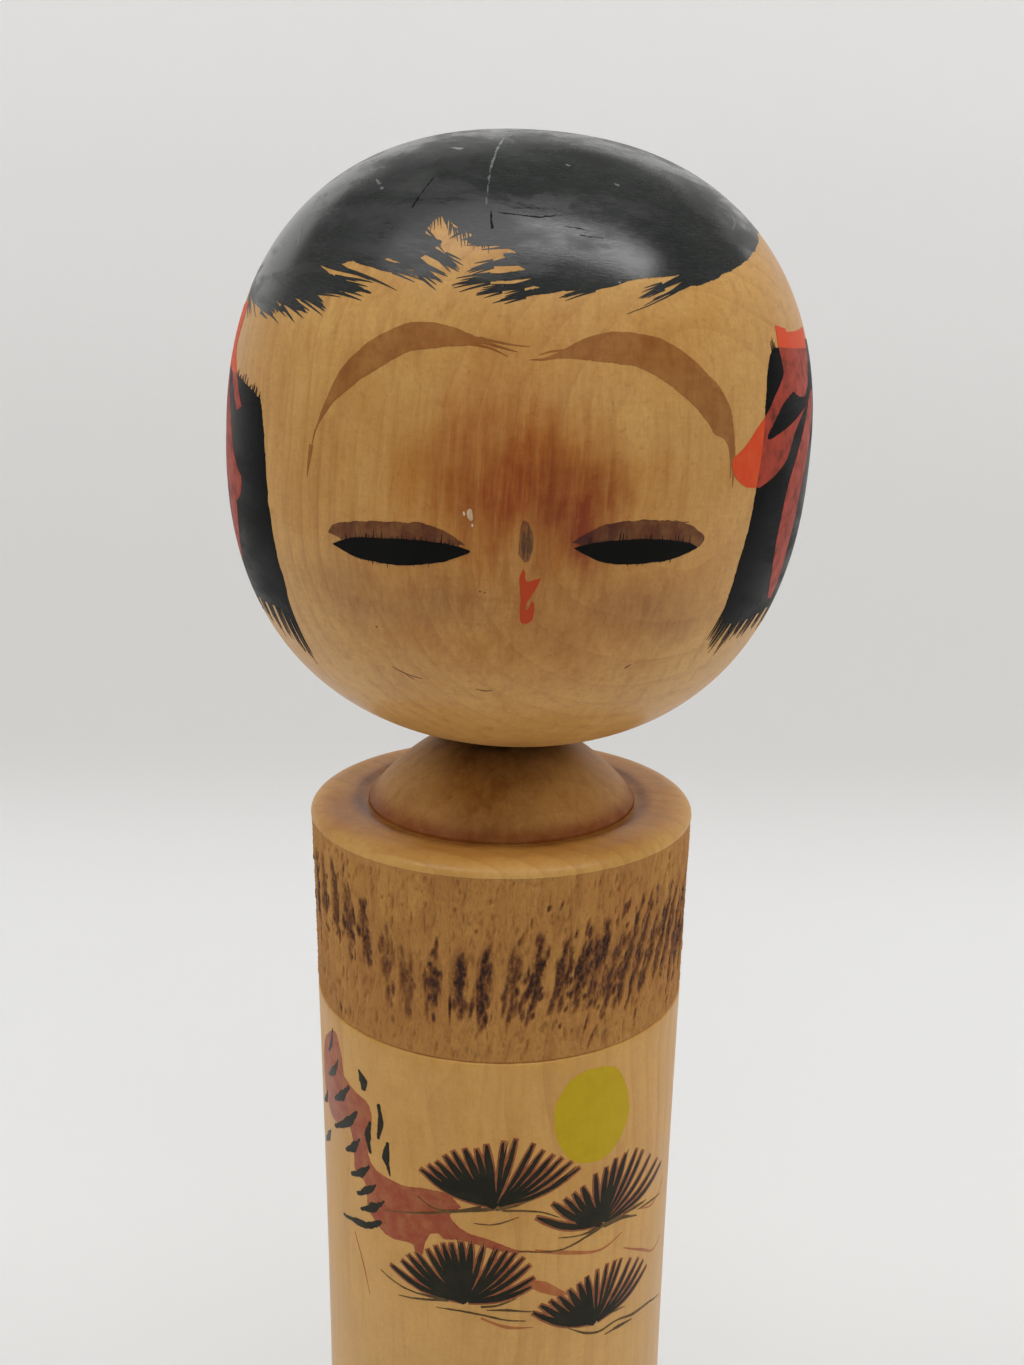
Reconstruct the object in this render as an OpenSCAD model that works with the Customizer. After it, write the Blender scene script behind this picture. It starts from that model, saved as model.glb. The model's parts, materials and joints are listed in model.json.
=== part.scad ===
// Kokeshi doll: a turned wooden column with a domed neck collar, and a round head that
// turns on a hidden tenon. Millimetres, +Z up. The origin is the centre of the flat base,
// the face looks along -Y, and the head leans a little towards +X.

/* [Body] */
// Radius at the widest point of the shoulder
shoulder_r = 30; // [20:0.5:45]
// Height of the widest point of the shoulder above the base
shoulder_z = 203; // [140:1:300]
// Height of the rounded shoulder edge
bevel_h = 1.9; // [0.5:0.1:5]
// Width of the rounded shoulder edge
bevel_w = 3.5; // [1:0.1:8]
// Radius at the slim waist
waist_r = 28.85; // [18:0.05:44]
// Height of the waist above the base
waist_z = 95; // [40:1:160]
// Radius of the rounded edge of the foot
foot_round = 1.5; // [0.5:0.1:5]
// Height of the scribed line under the carved band
scribe_z = 174.1; // [120:0.1:200]
// Width of the scribed line
scribe_w = 0.5; // [0.3:0.1:2]
// Depth of the scribed line
scribe_depth = 0.35; // [0.1:0.05:1]
// How far the carved band lies under the plain surface
band_depth = 0.25; // [0.1:0.05:1]

/* [Lathe claw marks in the base] */
// Number of claw marks
claw_count = 4; // [0:1:6]
// Distance from the centre to a claw mark
claw_at = 11; // [4:0.5:20]
// Length of a claw mark, along the radius
claw_l = 7; // [2:0.5:12]
// Width of a claw mark
claw_w = 1.4; // [0.5:0.1:3]
// Depth of a claw mark
claw_depth = 2.2; // [0.5:0.1:5]

/* [Neck collar] */
// Radius of the collar's foot
collar_r = 20.9; // [12:0.1:28]
// Radius of the dome's arc, seen from the side
dome_arc_r = 36.8; // [15:0.1:80]
// Slope of the dome where it meets the foot, in degrees from flat
dome_slope = 52.5; // [30:0.5:85]
// How deep the collar's foot is let into the shoulder
seat_depth = 1; // [0.3:0.1:3]
// Gap around the collar's foot
seat_gap = 0.05; // [0.05:0.05:0.5]
// Width and depth of the chamfer that makes the dark ring around the collar
ring_chamfer = 0.4; // [0.2:0.1:1.5]
// Radius of the spigot that is glued into the body
spigot_r = 13; // [9:0.5:18]
// Height of the spigot's lower end above the base
spigot_z = 190; // [160:1:200]
// Glue line between the spigot and its socket
glue_gap = 0.05; // [0.02:0.01:0.2]

/* [Lean and neck] */
// How far the head and its neck lean towards +X, in degrees
lean = 3; // [0:0.5:6]
// Height at which the leaning axis crosses the body's axis
lean_z = 225; // [200:1:240]
// Radius of the tenon
tenon_r = 6; // [4:0.1:8]
// Running clearance around the tenon in the collar
running_gap = 0.05; // [0.01:0.01:0.1]
// End play between the head, the collar and the tenon's flange
end_gap = 0.1; // [0.05:0.05:0.5]
// Length of the bearing in the collar
bearing_l = 16.7; // [8:0.1:22]
// Radius of the flange that stops the head from pulling off
flange_r = 8.5; // [7:0.1:11]
// Thickness of the flange
flange_h = 4.5; // [2:0.1:8]
// Space around the flange
flange_gap = 0.7; // [0.3:0.1:2]
// How far the tenon goes up into the head
tenon_in_head = 24; // [10:0.5:40]

/* [Head] */
// Radius of the head
head_r = 42.4; // [25:0.1:60]
// Height from the widest level to the crown
head_up = 43.1; // [25:0.1:60]
// Depth from the widest level to the chin
head_down = 44.1; // [25:0.1:60]
// How square the outline is: 2 is an ellipse
head_power = 2.33; // [2:0.01:3]
// Distance along the leaning axis from where it crosses the body's axis to the widest level
head_at = 34.85; // [20:0.05:60]
// Radius of the flat face under the chin
chin_flat_r = 9.5; // [7:0.1:15]

/* [Hidden] */
$fn = 128;
cut = 1;
wall_steps = 12;
arc_steps = 6;
head_steps = 18;
edge = 0.6;
top_z = shoulder_z + bevel_h;
seat_z = top_z - seat_depth;
chin_z = head_at - head_down * pow(1 - pow(chin_flat_r / head_r, head_power), 1 / head_power);
chin_t = asin(pow((head_at - chin_z) / head_down, head_power / 2));
collar_top = chin_z - end_gap;
bearing_end = collar_top - bearing_l;
tenon_top = chin_z + tenon_in_head;

// The body's radius at a height: a very shallow waist
function wall(z) = waist_r + (shoulder_r - waist_r) * pow((z - waist_z) / (shoulder_z - waist_z), 2);

// A point of the head's outline: the angle t runs from the widest level to the pole
function head_point(t, h) = [
  head_r * pow(cos(t), 2 / head_power),
  head_at + h * pow(sin(t), 2 / head_power)
];

// Puts its children on the leaning axis
module leaning() {
  translate([0, 0, lean_z])
    rotate([0, lean, 0])
      children();
}

module body_outline() {
  below = scribe_z - scribe_w / 2;
  above = scribe_z + scribe_w / 2;
  polygon(concat(
    [[0, 0]],
    [for (i = [0 : arc_steps])
      [wall(foot_round) - foot_round * (1 - sin(90 * i / arc_steps)),
       foot_round * (1 - cos(90 * i / arc_steps))]],
    [for (i = [1 : wall_steps])
      let (z = foot_round + (below - foot_round) * i / wall_steps)
      [wall(z), z]],
    [[wall(scribe_z) - scribe_depth, scribe_z]],
    [for (i = [0 : 3])
      let (z = above + (shoulder_z - band_depth - above) * i / 3)
      [wall(z) - band_depth, z]],
    [for (i = [0 : arc_steps])
      [shoulder_r - bevel_w * (1 - cos(90 * i / arc_steps)),
       shoulder_z + bevel_h * sin(90 * i / arc_steps)]],
    [[0, top_z]]
  ));
}

module body() {
  color("BurlyWood")
  difference() {
    rotate_extrude() body_outline();
    // seat and ring groove for the collar's foot
    translate([0, 0, seat_z]) cylinder(r = collar_r + seat_gap, h = seat_depth + cut);
    translate([0, 0, top_z - ring_chamfer])
      cylinder(
        r1 = collar_r + seat_gap,
        r2 = collar_r + seat_gap + 2 * ring_chamfer,
        h = 2 * ring_chamfer
      );
    // socket for the collar's spigot
    translate([0, 0, spigot_z - 1]) cylinder(r = spigot_r + glue_gap, h = top_z);
    // marks left by the lathe's claws
    for (i = [0 : claw_count - 1])
      rotate([0, 0, 45 + 360 * i / claw_count])
        translate([claw_at - claw_l / 2, -claw_w / 2, -cut])
          cube([claw_l, claw_w, claw_depth + cut]);
  }
}

module collar_outline() {
  polygon(concat(
    [
      [0, spigot_z],
      [spigot_r - edge, spigot_z],
      [spigot_r, spigot_z + edge],
      [spigot_r, seat_z],
      [collar_r, seat_z],
      [collar_r, top_z - ring_chamfer]
    ],
    [for (a = [dome_slope : -3.5 : 14])
      [collar_r - dome_arc_r * (sin(dome_slope) - sin(a)),
       top_z + dome_arc_r * (cos(a) - cos(dome_slope))]],
    [[0, top_z + dome_arc_r * (1 - cos(dome_slope))]]
  ));
}

module neck_collar() {
  color("Peru")
  difference() {
    rotate_extrude() collar_outline();
    leaning() {
      // flat bearing face under the head
      translate([0, 0, collar_top]) cylinder(r = collar_r, h = dome_arc_r);
      // bearing bore
      translate([0, 0, bearing_end - cut]) cylinder(r = tenon_r + running_gap, h = dome_arc_r);
      // room for the tenon's flange
      translate([0, 0, bearing_end - dome_arc_r])
        cylinder(r = flange_r + flange_gap, h = dome_arc_r);
    }
  }
}

module neck_tenon() {
  flange_top = bearing_end - end_gap;
  color("Tan")
  leaning()
    rotate_extrude()
      polygon([
        [0, flange_top - flange_h],
        [flange_r - edge, flange_top - flange_h],
        [flange_r, flange_top - flange_h + edge],
        [flange_r, flange_top - edge],
        [flange_r - edge, flange_top],
        [tenon_r, flange_top],
        [tenon_r, tenon_top - edge],
        [tenon_r - edge, tenon_top],
        [0, tenon_top]
      ]);
}

module head_outline() {
  polygon(concat(
    [[0, chin_z]],
    [for (i = [0 : head_steps]) head_point(chin_t * (1 - i / head_steps), -head_down)],
    [for (i = [1 : head_steps]) head_point(90 * i / head_steps, head_up)]
  ));
}

module head() {
  color("Wheat")
  leaning()
    difference() {
      rotate_extrude() head_outline();
      // blind bore for the tenon, with a little air above it
      translate([0, 0, chin_z - cut])
        cylinder(r = tenon_r + glue_gap / 2, h = tenon_in_head + cut + edge);
    }
}

body();
neck_collar();
neck_tenon();
head();
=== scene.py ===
"""Kokeshi doll: turned wood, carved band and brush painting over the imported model.

Lengths inside the helpers are in millimetres. A place on the head is (a, h): a is degrees
round from the face, positive towards +X, and h is the height above the head's widest level.
A place on the body is (a, z), with z measured from the base.
"""

import json
import math
import random

import bpy
import numpy as np
from mathutils import Matrix, Vector
from mathutils.geometry import delaunay_2d_cdt


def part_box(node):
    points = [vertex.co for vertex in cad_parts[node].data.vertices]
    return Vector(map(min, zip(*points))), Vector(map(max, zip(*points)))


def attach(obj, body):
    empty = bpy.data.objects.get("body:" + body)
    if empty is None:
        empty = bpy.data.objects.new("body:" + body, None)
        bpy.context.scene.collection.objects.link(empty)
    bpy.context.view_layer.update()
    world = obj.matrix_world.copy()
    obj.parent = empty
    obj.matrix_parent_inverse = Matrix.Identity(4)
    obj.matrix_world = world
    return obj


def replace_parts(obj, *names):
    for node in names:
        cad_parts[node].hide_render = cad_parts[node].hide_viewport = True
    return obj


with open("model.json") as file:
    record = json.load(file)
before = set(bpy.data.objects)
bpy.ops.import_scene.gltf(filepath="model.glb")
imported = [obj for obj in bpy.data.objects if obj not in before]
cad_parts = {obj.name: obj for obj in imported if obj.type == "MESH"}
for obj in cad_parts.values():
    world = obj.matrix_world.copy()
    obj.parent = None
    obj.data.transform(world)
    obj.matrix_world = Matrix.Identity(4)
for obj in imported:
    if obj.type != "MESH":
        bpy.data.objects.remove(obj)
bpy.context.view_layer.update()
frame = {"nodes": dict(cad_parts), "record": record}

MM = 0.001

# ---------------------------------------------------------------- driving dimensions

body_lo, body_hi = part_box("body")
head_lo, head_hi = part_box("head")
hinge = next(j for j in frame["record"]["behaviour"]["joints"] if j["name"] == "head_turn")

TOP = body_hi[2] / MM
SHOULDER_R = (body_hi[0] - body_lo[0]) / 2 / MM
BEVEL_H, BEVEL_W = 1.9, 3.5
SHOULDER_Z = TOP - BEVEL_H
WAIST_R, WAIST_Z = 28.85, 95.0
FOOT_ROUND = 1.5
SCRIBE_Z, SCRIBE_W, SCRIBE_DEPTH = 174.0, 0.36, 0.25
BAND_RECESS = 0.8

COLLAR_R = 20.9
DOME_ARC_R, DOME_SLOPE = 36.8, 52.5
SEAT_DEPTH, SEAT_GAP = 1.0, 0.05
COVE_W, COVE_DEPTH = 1.9, 0.45
SPIGOT_R, SPIGOT_Z = 13.0, 190.0
TENON_R = 6.0
BEARING_L, FLANGE_ROOM_R = 16.7, 9.2

HEAD_R = (head_hi[1] - head_lo[1]) / 2 / MM
HEAD_UP, HEAD_DOWN, HEAD_POWER, HEAD_AT = 43.1, 44.1, 2.33, 34.85
CHIN_FLAT_R = 9.5
TENON_IN_HEAD = 24.6

LEAN_AT = Vector(hinge["pos_m"])
LEAN = math.atan2(hinge["axis"][0], hinge["axis"][2])
LEANING = Matrix.Translation(LEAN_AT) @ Matrix.Rotation(LEAN, 4, "Y")
HEAD_PLACE = LEANING @ Matrix.Translation((0, 0, HEAD_AT * MM))
BODY_PLACE = Matrix.Identity(4)


def wall(z):
    """The column's radius at a height: a very shallow waist."""
    return WAIST_R + (SHOULDER_R - WAIST_R) * ((z - WAIST_Z) / (SHOULDER_Z - WAIST_Z)) ** 2


def head_radius(h):
    """The head's radius at a height above its widest level: half a superellipse each way."""
    size = np.where(h > 0, HEAD_UP, HEAD_DOWN)
    return HEAD_R * np.clip(1 - (np.abs(h) / size) ** HEAD_POWER, 0, 1) ** (1 / HEAD_POWER)


CHIN_H = -HEAD_DOWN * (1 - (CHIN_FLAT_R / HEAD_R) ** HEAD_POWER) ** (1 / HEAD_POWER)

# ---------------------------------------------------------------- surfaces that paint lies on


def on_head(a, h, lift):
    """Points of the head's surface, in the head's own frame, raised along the surface normal."""
    a, h = np.radians(a), np.asarray(h, float)
    size = np.where(h > 0, HEAD_UP, HEAD_DOWN)
    r = head_radius(h)
    out = (np.maximum(r, 1e-6) / HEAD_R) ** (HEAD_POWER - 1) / HEAD_R
    up = np.sign(h) * (np.abs(h) / size) ** (HEAD_POWER - 1) / size
    norm = np.hypot(out, up)
    r, z = r + lift * out / norm, h + lift * up / norm
    return np.stack([r * np.sin(a), -r * np.cos(a), z], -1)


def on_body(a, z, lift):
    """Points of the column's side, raised outwards."""
    a = np.radians(a)
    r = wall(z) + lift
    return np.stack([r * np.sin(a), -r * np.cos(a), z], -1)


class Side:
    """A flat chart of a side surface: millimetres round, millimetres up."""

    def __init__(self, radius):
        self.radius = radius

    def flat(self, p):
        return np.stack([np.radians(p[:, 0]) * self.radius, p[:, 1]], -1)

    def back(self, q):
        return np.degrees(q[:, 0] / self.radius), q[:, 1]


class Crown:
    """A flat chart of the head seen from the crown: distance over the surface, and direction."""

    def __init__(self):
        t = np.linspace(0, math.pi / 2, 400)
        h = np.concatenate([
            HEAD_UP * np.cos(t) ** (2 / HEAD_POWER),
            -HEAD_DOWN * np.sin(t[1:]) ** (2 / HEAD_POWER),
        ])
        r = head_radius(h)
        self.h = h
        self.run = np.concatenate([[0], np.cumsum(np.hypot(np.diff(r), np.diff(h)))])

    def flat(self, p):
        run = np.interp(-p[:, 1], -self.h, self.run)
        a = np.radians(p[:, 0])
        return np.stack([run * np.sin(a), -run * np.cos(a)], -1)

    def back(self, q):
        run = np.hypot(q[:, 0], q[:, 1])
        return np.degrees(np.arctan2(q[:, 0], -q[:, 1])), np.interp(run, self.run, self.h)


FACE = Side(HEAD_R)
BARREL = Side(SHOULDER_R)
CROWN = Crown()

# ---------------------------------------------------------------- brush shapes


def spline(points, steps=10):
    """A smooth open line through the points (Catmull-Rom)."""
    p = np.asarray(points, float)
    if len(p) == 2:
        t = np.linspace(0, 1, steps + 1)[:, None]
        return p[0] * (1 - t) + p[1] * t
    p = np.vstack([2 * p[0] - p[1], p, 2 * p[-1] - p[-2]])
    t = np.linspace(0, 1, steps, endpoint=False)[:, None]
    parts = []
    for a, b, c, d in zip(p[:-3], p[1:-2], p[2:-1], p[3:]):
        square, cube = 2 * a - 5 * b + 4 * c - d, 3 * b - a - 3 * c + d
        parts.append(0.5 * (2 * b + (c - a) * t + square * t**2 + cube * t**3))
    return np.vstack(parts + [p[-2:-1]])


def outline(*edges, steps=10, round_crown=False):
    """A closed shape of smooth edges that meet at corners: each edge starts where the last one ends.

    A shape that goes right round the crown closes on itself, so its last edge isn't led back.
    """
    closed = [list(e) for e in edges]
    for i, e in enumerate(closed[:-1] if round_crown else closed):
        nxt = closed[(i + 1) % len(closed)]
        if e[-1] != nxt[0]:
            e.append(nxt[0])
    return np.vstack([spline(e, steps)[:-1] for e in closed])


def rough(shape, amount, seed, wave=1.2):
    """Pushes a flat closed shape's edge in and out a little, as a brush edge wanders."""
    rng = np.random.default_rng(seed)
    step = np.linalg.norm(np.roll(shape, -1, 0) - shape, axis=1)
    run = np.concatenate([[0], np.cumsum(step)])
    count = max(int(run[-1] / 0.35), 12)
    at = np.linspace(0, run[-1], count, endpoint=False)
    ring = np.vstack([shape, shape[:1]])
    p = np.stack([np.interp(at, run, ring[:, k]) for k in (0, 1)], -1)
    knots = max(int(run[-1] / wave), 6)
    value = rng.normal(0, 1, knots)
    push = np.interp(at / run[-1] * knots, np.arange(knots + 1), np.append(value, value[0]))
    push += 0.6 * rng.normal(0, 1, count)
    tangent = np.roll(p, -1, 0) - np.roll(p, 1, 0)
    tangent /= np.maximum(np.linalg.norm(tangent, axis=1, keepdims=True), 1e-9)
    outward = np.stack([tangent[:, 1], -tangent[:, 0]], -1)
    return p + outward * (push * amount * 0.5)[:, None]


def stroke(chart, points, widths, steps=8):
    """One brush stroke along a line of places. Widths are in millimetres, from start to end."""
    line = spline(chart.flat(np.asarray(points, float)), steps)
    t = np.linspace(0, 1, len(line))
    half = np.interp(t, np.linspace(0, 1, len(widths)), widths) / 2
    run = np.gradient(line, axis=0)
    run /= np.maximum(np.linalg.norm(run, axis=1, keepdims=True), 1e-9)
    side = np.stack([-run[:, 1], run[:, 0]], -1) * np.maximum(half, 0.015)[:, None]
    return np.vstack([line + side, (line - side)[::-1]])


def tuft(chart, root, tip, width, hairs, fan, seed, curl=0.0):
    """A brush end that splits into fine hairs, from a root place to a tip place."""
    rng = random.Random(seed)
    flat_root, flat_tip = chart.flat(np.array([root, tip], float))
    run = flat_tip - flat_root
    length = float(np.linalg.norm(run))
    side = np.array([-run[1], run[0]]) / length
    shapes = []
    for i in range(hairs):
        across = i / (hairs - 1) - 0.5
        start = flat_root + side * across * width
        reach = 1.12 - 0.35 * abs(across) - 0.3 * rng.random()
        end = flat_root + run * reach + side * (across * fan + rng.uniform(-0.15, 0.15) * fan)
        middle = (start + end) / 2 + side * curl * length * 0.1
        line = spline([start, middle, end], 5)
        t = np.linspace(0, 1, len(line))
        half = 0.5 * (width / hairs * 1.25) * (1 - t) ** 0.7 + 0.02
        d = np.gradient(line, axis=0)
        d /= np.linalg.norm(d, axis=1, keepdims=True)
        n = np.stack([-d[:, 1], d[:, 0]], -1) * half[:, None]
        shapes.append(np.vstack([line + n, (line - n)[::-1]]))
    return shapes


# ---------------------------------------------------------------- meshes


def piece(name, verts, faces, body, place, materials, smooth_angle=35.0):
    """A mesh object from points in millimetres, riding on a body. Edges over the angle stay sharp."""
    mesh = bpy.data.meshes.new(name)
    mesh.from_pydata([tuple(v) for v in np.asarray(verts) * MM], [], faces)
    mesh.validate()
    mesh.update()
    obj = bpy.data.objects.new(name, mesh)
    bpy.context.scene.collection.objects.link(obj)
    for m in materials:
        mesh.materials.append(m)
    mesh.polygons.foreach_set("use_smooth", [True] * len(mesh.polygons))
    mesh.set_sharp_from_angle(angle=math.radians(smooth_angle))
    obj.matrix_world = place
    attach(obj, body)
    return obj


def turned(name, rings, body, place, material, segments=256, smooth_angle=35.0):
    """A closed solid of revolution. Its rings are (radius, height), from one pole to the other."""
    a = np.linspace(0, 2 * math.pi, segments, endpoint=False)
    verts, index = [], []
    for r, z in rings:
        if r < 1e-6:
            index.append([len(verts)] * segments)
            verts.append((0.0, 0.0, z))
        else:
            index.append(list(range(len(verts), len(verts) + segments)))
            verts.extend(zip(r * np.sin(a), -r * np.cos(a), [z] * segments))
    faces = []
    for low, high in zip(index, index[1:]):
        for i in range(segments):
            j = (i + 1) % segments
            quad = [low[i], low[j], high[j], high[i]]
            face = [v for k, v in enumerate(quad) if v not in quad[:k]]
            if len(face) > 2:
                faces.append(face)
    return piece(name, verts, faces, body, place, [material], smooth_angle)


def inside(shape, points):
    """Which points lie inside a closed flat shape, counting how often its edge winds round them."""
    wind = np.zeros(len(points), int)
    near = np.flatnonzero(np.all((points >= shape.min(0)) & (points <= shape.max(0)), 1))
    p = points[near]
    count = np.zeros(len(near), int)
    for a, b in zip(shape, np.roll(shape, -1, 0)):
        left = (b[0] - a[0]) * (p[:, 1] - a[1]) - (p[:, 0] - a[0]) * (b[1] - a[1])
        count += (a[1] <= p[:, 1]) & (b[1] > p[:, 1]) & (left > 0)
        count -= (a[1] > p[:, 1]) & (b[1] <= p[:, 1]) & (left < 0)
    wind[near] = count
    return wind != 0


def paint(name, shapes, chart, surface, body, place, materials, slot,
          lift=0.03, grid=1.0, over=None, sink=0.03):
    """A thin closed skin of paint: the union of flat shapes, laid on a surface.

    Where `over` is given, the faces inside that shape take the second material.
    """
    shapes = [np.asarray(s) for s in shapes]
    points, edges = [], []
    for s in shapes + ([over] if over is not None else []):
        first, count = len(points), len(s)
        edges += [(first + i, first + (i + 1) % count) for i in range(count)]
        points.extend(map(tuple, s))
    every = np.vstack(shapes)
    low, high = every.min(0), every.max(0)
    nx, ny = (int((high[k] - low[k]) / grid) + 2 for k in (0, 1))
    for i in range(nx):  # staggered inner points, so that the skin follows the surface's curve
        for j in range(ny):
            points.append((low[0] + (i + 0.5 * (j % 2) + 0.13) * grid, low[1] + (j + 0.17) * grid * 0.9))
    flat, _, tris, _, _, _ = delaunay_2d_cdt([Vector(p) for p in points], edges, [], 0, 1e-6, True)
    flat, tris = np.array([tuple(p) for p in flat]), np.array(tris)
    centre = flat[tris].mean(1)
    painted = np.zeros(len(tris), bool)
    for s in shapes:
        painted |= inside(s, centre)
    second = inside(over, centre) if over is not None else np.zeros(len(tris), bool)
    used, number = np.unique(tris[painted], return_inverse=True)
    a, h = chart.back(flat[used])
    top, under = surface(a, h, lift), surface(a, h, -sink)
    n = len(used)
    outward = (1, 1, 0 if surface is on_body else 1)
    faces, slots, rim = [], [], {}
    for t, index in zip(number.reshape(-1, 3).tolist(), second[painted].astype(int).tolist()):
        p0, p1, p2 = (top[v] for v in t)
        if np.dot(np.cross(p1 - p0, p2 - p0), (p0 + p1 + p2) * outward) < 0:
            t = t[::-1]
        faces += [t, [v + n for v in t[::-1]]]
        slots += [index, index]
        for u, v in zip(t, t[1:] + t[:1]):
            rim[(u, v)] = index
    for (u, v), index in rim.items():
        if (v, u) not in rim:
            faces.append([u, u + n, v + n, v])
            slots.append(index)
    obj = piece(name, np.vstack([top, under]), faces, body, place, materials, 50)
    obj.data.polygons.foreach_set("material_index", slots[: len(obj.data.polygons)])


# ---------------------------------------------------------------- material nodes


def srgb(r, g, b):
    """A colour given as it looks on a screen, 0 to 255."""
    def linear(c):
        c /= 255
        return c / 12.92 if c <= 0.04045 else ((c + 0.055) / 1.055) ** 2.4
    return (linear(r), linear(g), linear(b), 1.0)


class Nodes:
    """A short way to write a node tree: sockets and plain values mix freely as inputs."""

    def __init__(self, name):
        self.material = bpy.data.materials.new(name)
        self.material.use_nodes = True
        self.tree = self.material.node_tree
        self.tree.nodes.clear()

    def add(self, kind, inputs=(), **options):
        node = self.tree.nodes.new(kind)
        for key, value in options.items():
            setattr(node, key, value)
        items = inputs.items() if isinstance(inputs, dict) else enumerate(inputs)
        for key, value in items:
            if value is None:
                continue
            if isinstance(value, bpy.types.NodeSocket):
                self.tree.links.new(value, node.inputs[key])
            else:
                node.inputs[key].default_value = value
        return node

    def math(self, operation, *values, clamp=False):
        return self.add("ShaderNodeMath", values, operation=operation, use_clamp=clamp).outputs[0]

    def vector(self, operation, *values):
        node = self.add("ShaderNodeVectorMath", values, operation=operation)
        return node.outputs["Value" if operation in ("LENGTH", "DOT_PRODUCT") else "Vector"]

    def place(self, moved=(0, 0, 0), turned_by=(0, 0, 0), scaled=(1, 1, 1), of=None):
        """Object coordinates in millimetres, or another vector, moved, turned and stretched."""
        if of is None:
            raw = self.add("ShaderNodeTexCoord").outputs["Object"]
            of = self.add("ShaderNodeVectorMath", {0: raw, "Scale": 1000.0}, operation="SCALE").outputs[0]
        return self.add("ShaderNodeMapping", {0: of, 1: moved, 2: turned_by, 3: scaled}).outputs[0]

    def noise(self, where, scale, detail=2.0, roughness=0.5, distortion=0.0):
        return self.add("ShaderNodeTexNoise", {
            "Vector": where, "Scale": scale, "Detail": detail,
            "Roughness": roughness, "Distortion": distortion,
        }).outputs["Fac"]

    def ramp(self, value, low, high, to_low=0.0, to_high=1.0, smooth=True):
        """Remaps a value from one range to another, and clamps it."""
        return self.add("ShaderNodeMapRange", {
            0: value, 1: low, 2: high, 3: to_low, 4: to_high,
        }, interpolation_type="SMOOTHSTEP" if smooth else "LINEAR", clamp=True).outputs[0]

    def mix(self, factor, a, b, blend="MIX"):
        node = self.add("ShaderNodeMix", data_type="RGBA", blend_type=blend)
        for socket, value in ((node.inputs[0], factor), (node.inputs[6], a), (node.inputs[7], b)):
            if isinstance(value, bpy.types.NodeSocket):
                self.tree.links.new(value, socket)
            else:
                socket.default_value = value
        return node.outputs[2]

    def blob(self, where, centre, size, soft=1.0):
        """1 at a place, falling smoothly to 0 at the edge of an ellipsoid round it."""
        x = self.vector("DIVIDE", self.vector("SUBTRACT", where, centre), size)
        return self.ramp(self.vector("LENGTH", x), 1.0, 1.0 - soft, 0.0, 1.0)

    def finish(self, colour, roughness, bump, strength, distance=0.0001, coat=0.0, specular=0.35):
        shader = self.add("ShaderNodeBsdfPrincipled", {
            "Base Color": colour, "Roughness": roughness, "Coat Weight": coat,
            "Coat Roughness": 0.18, "Specular IOR Level": specular,
        })
        normal = self.add("ShaderNodeBump", {"Strength": strength, "Distance": distance, "Height": bump})
        self.tree.links.new(normal.outputs[0], shader.inputs["Normal"])
        out = self.add("ShaderNodeOutputMaterial")
        self.tree.links.new(shader.outputs[0], out.inputs[0])
        return self.material


HEAD_WOOD = dict(
    pith=(-58, 94, 0), pith_lean=(0.05, 0.03, 0), ring=2.2,
    pale=srgb(222, 174, 103), mid=srgb(208, 156, 84), dark=srgb(160, 98, 44),
)
BODY_WOOD = dict(
    pith=(60, 95, 0), pith_lean=(0.01, 0.02, 0), ring=3.4,
    pale=srgb(222, 174, 100), mid=srgb(210, 160, 84), dark=srgb(178, 122, 58),
)


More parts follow.
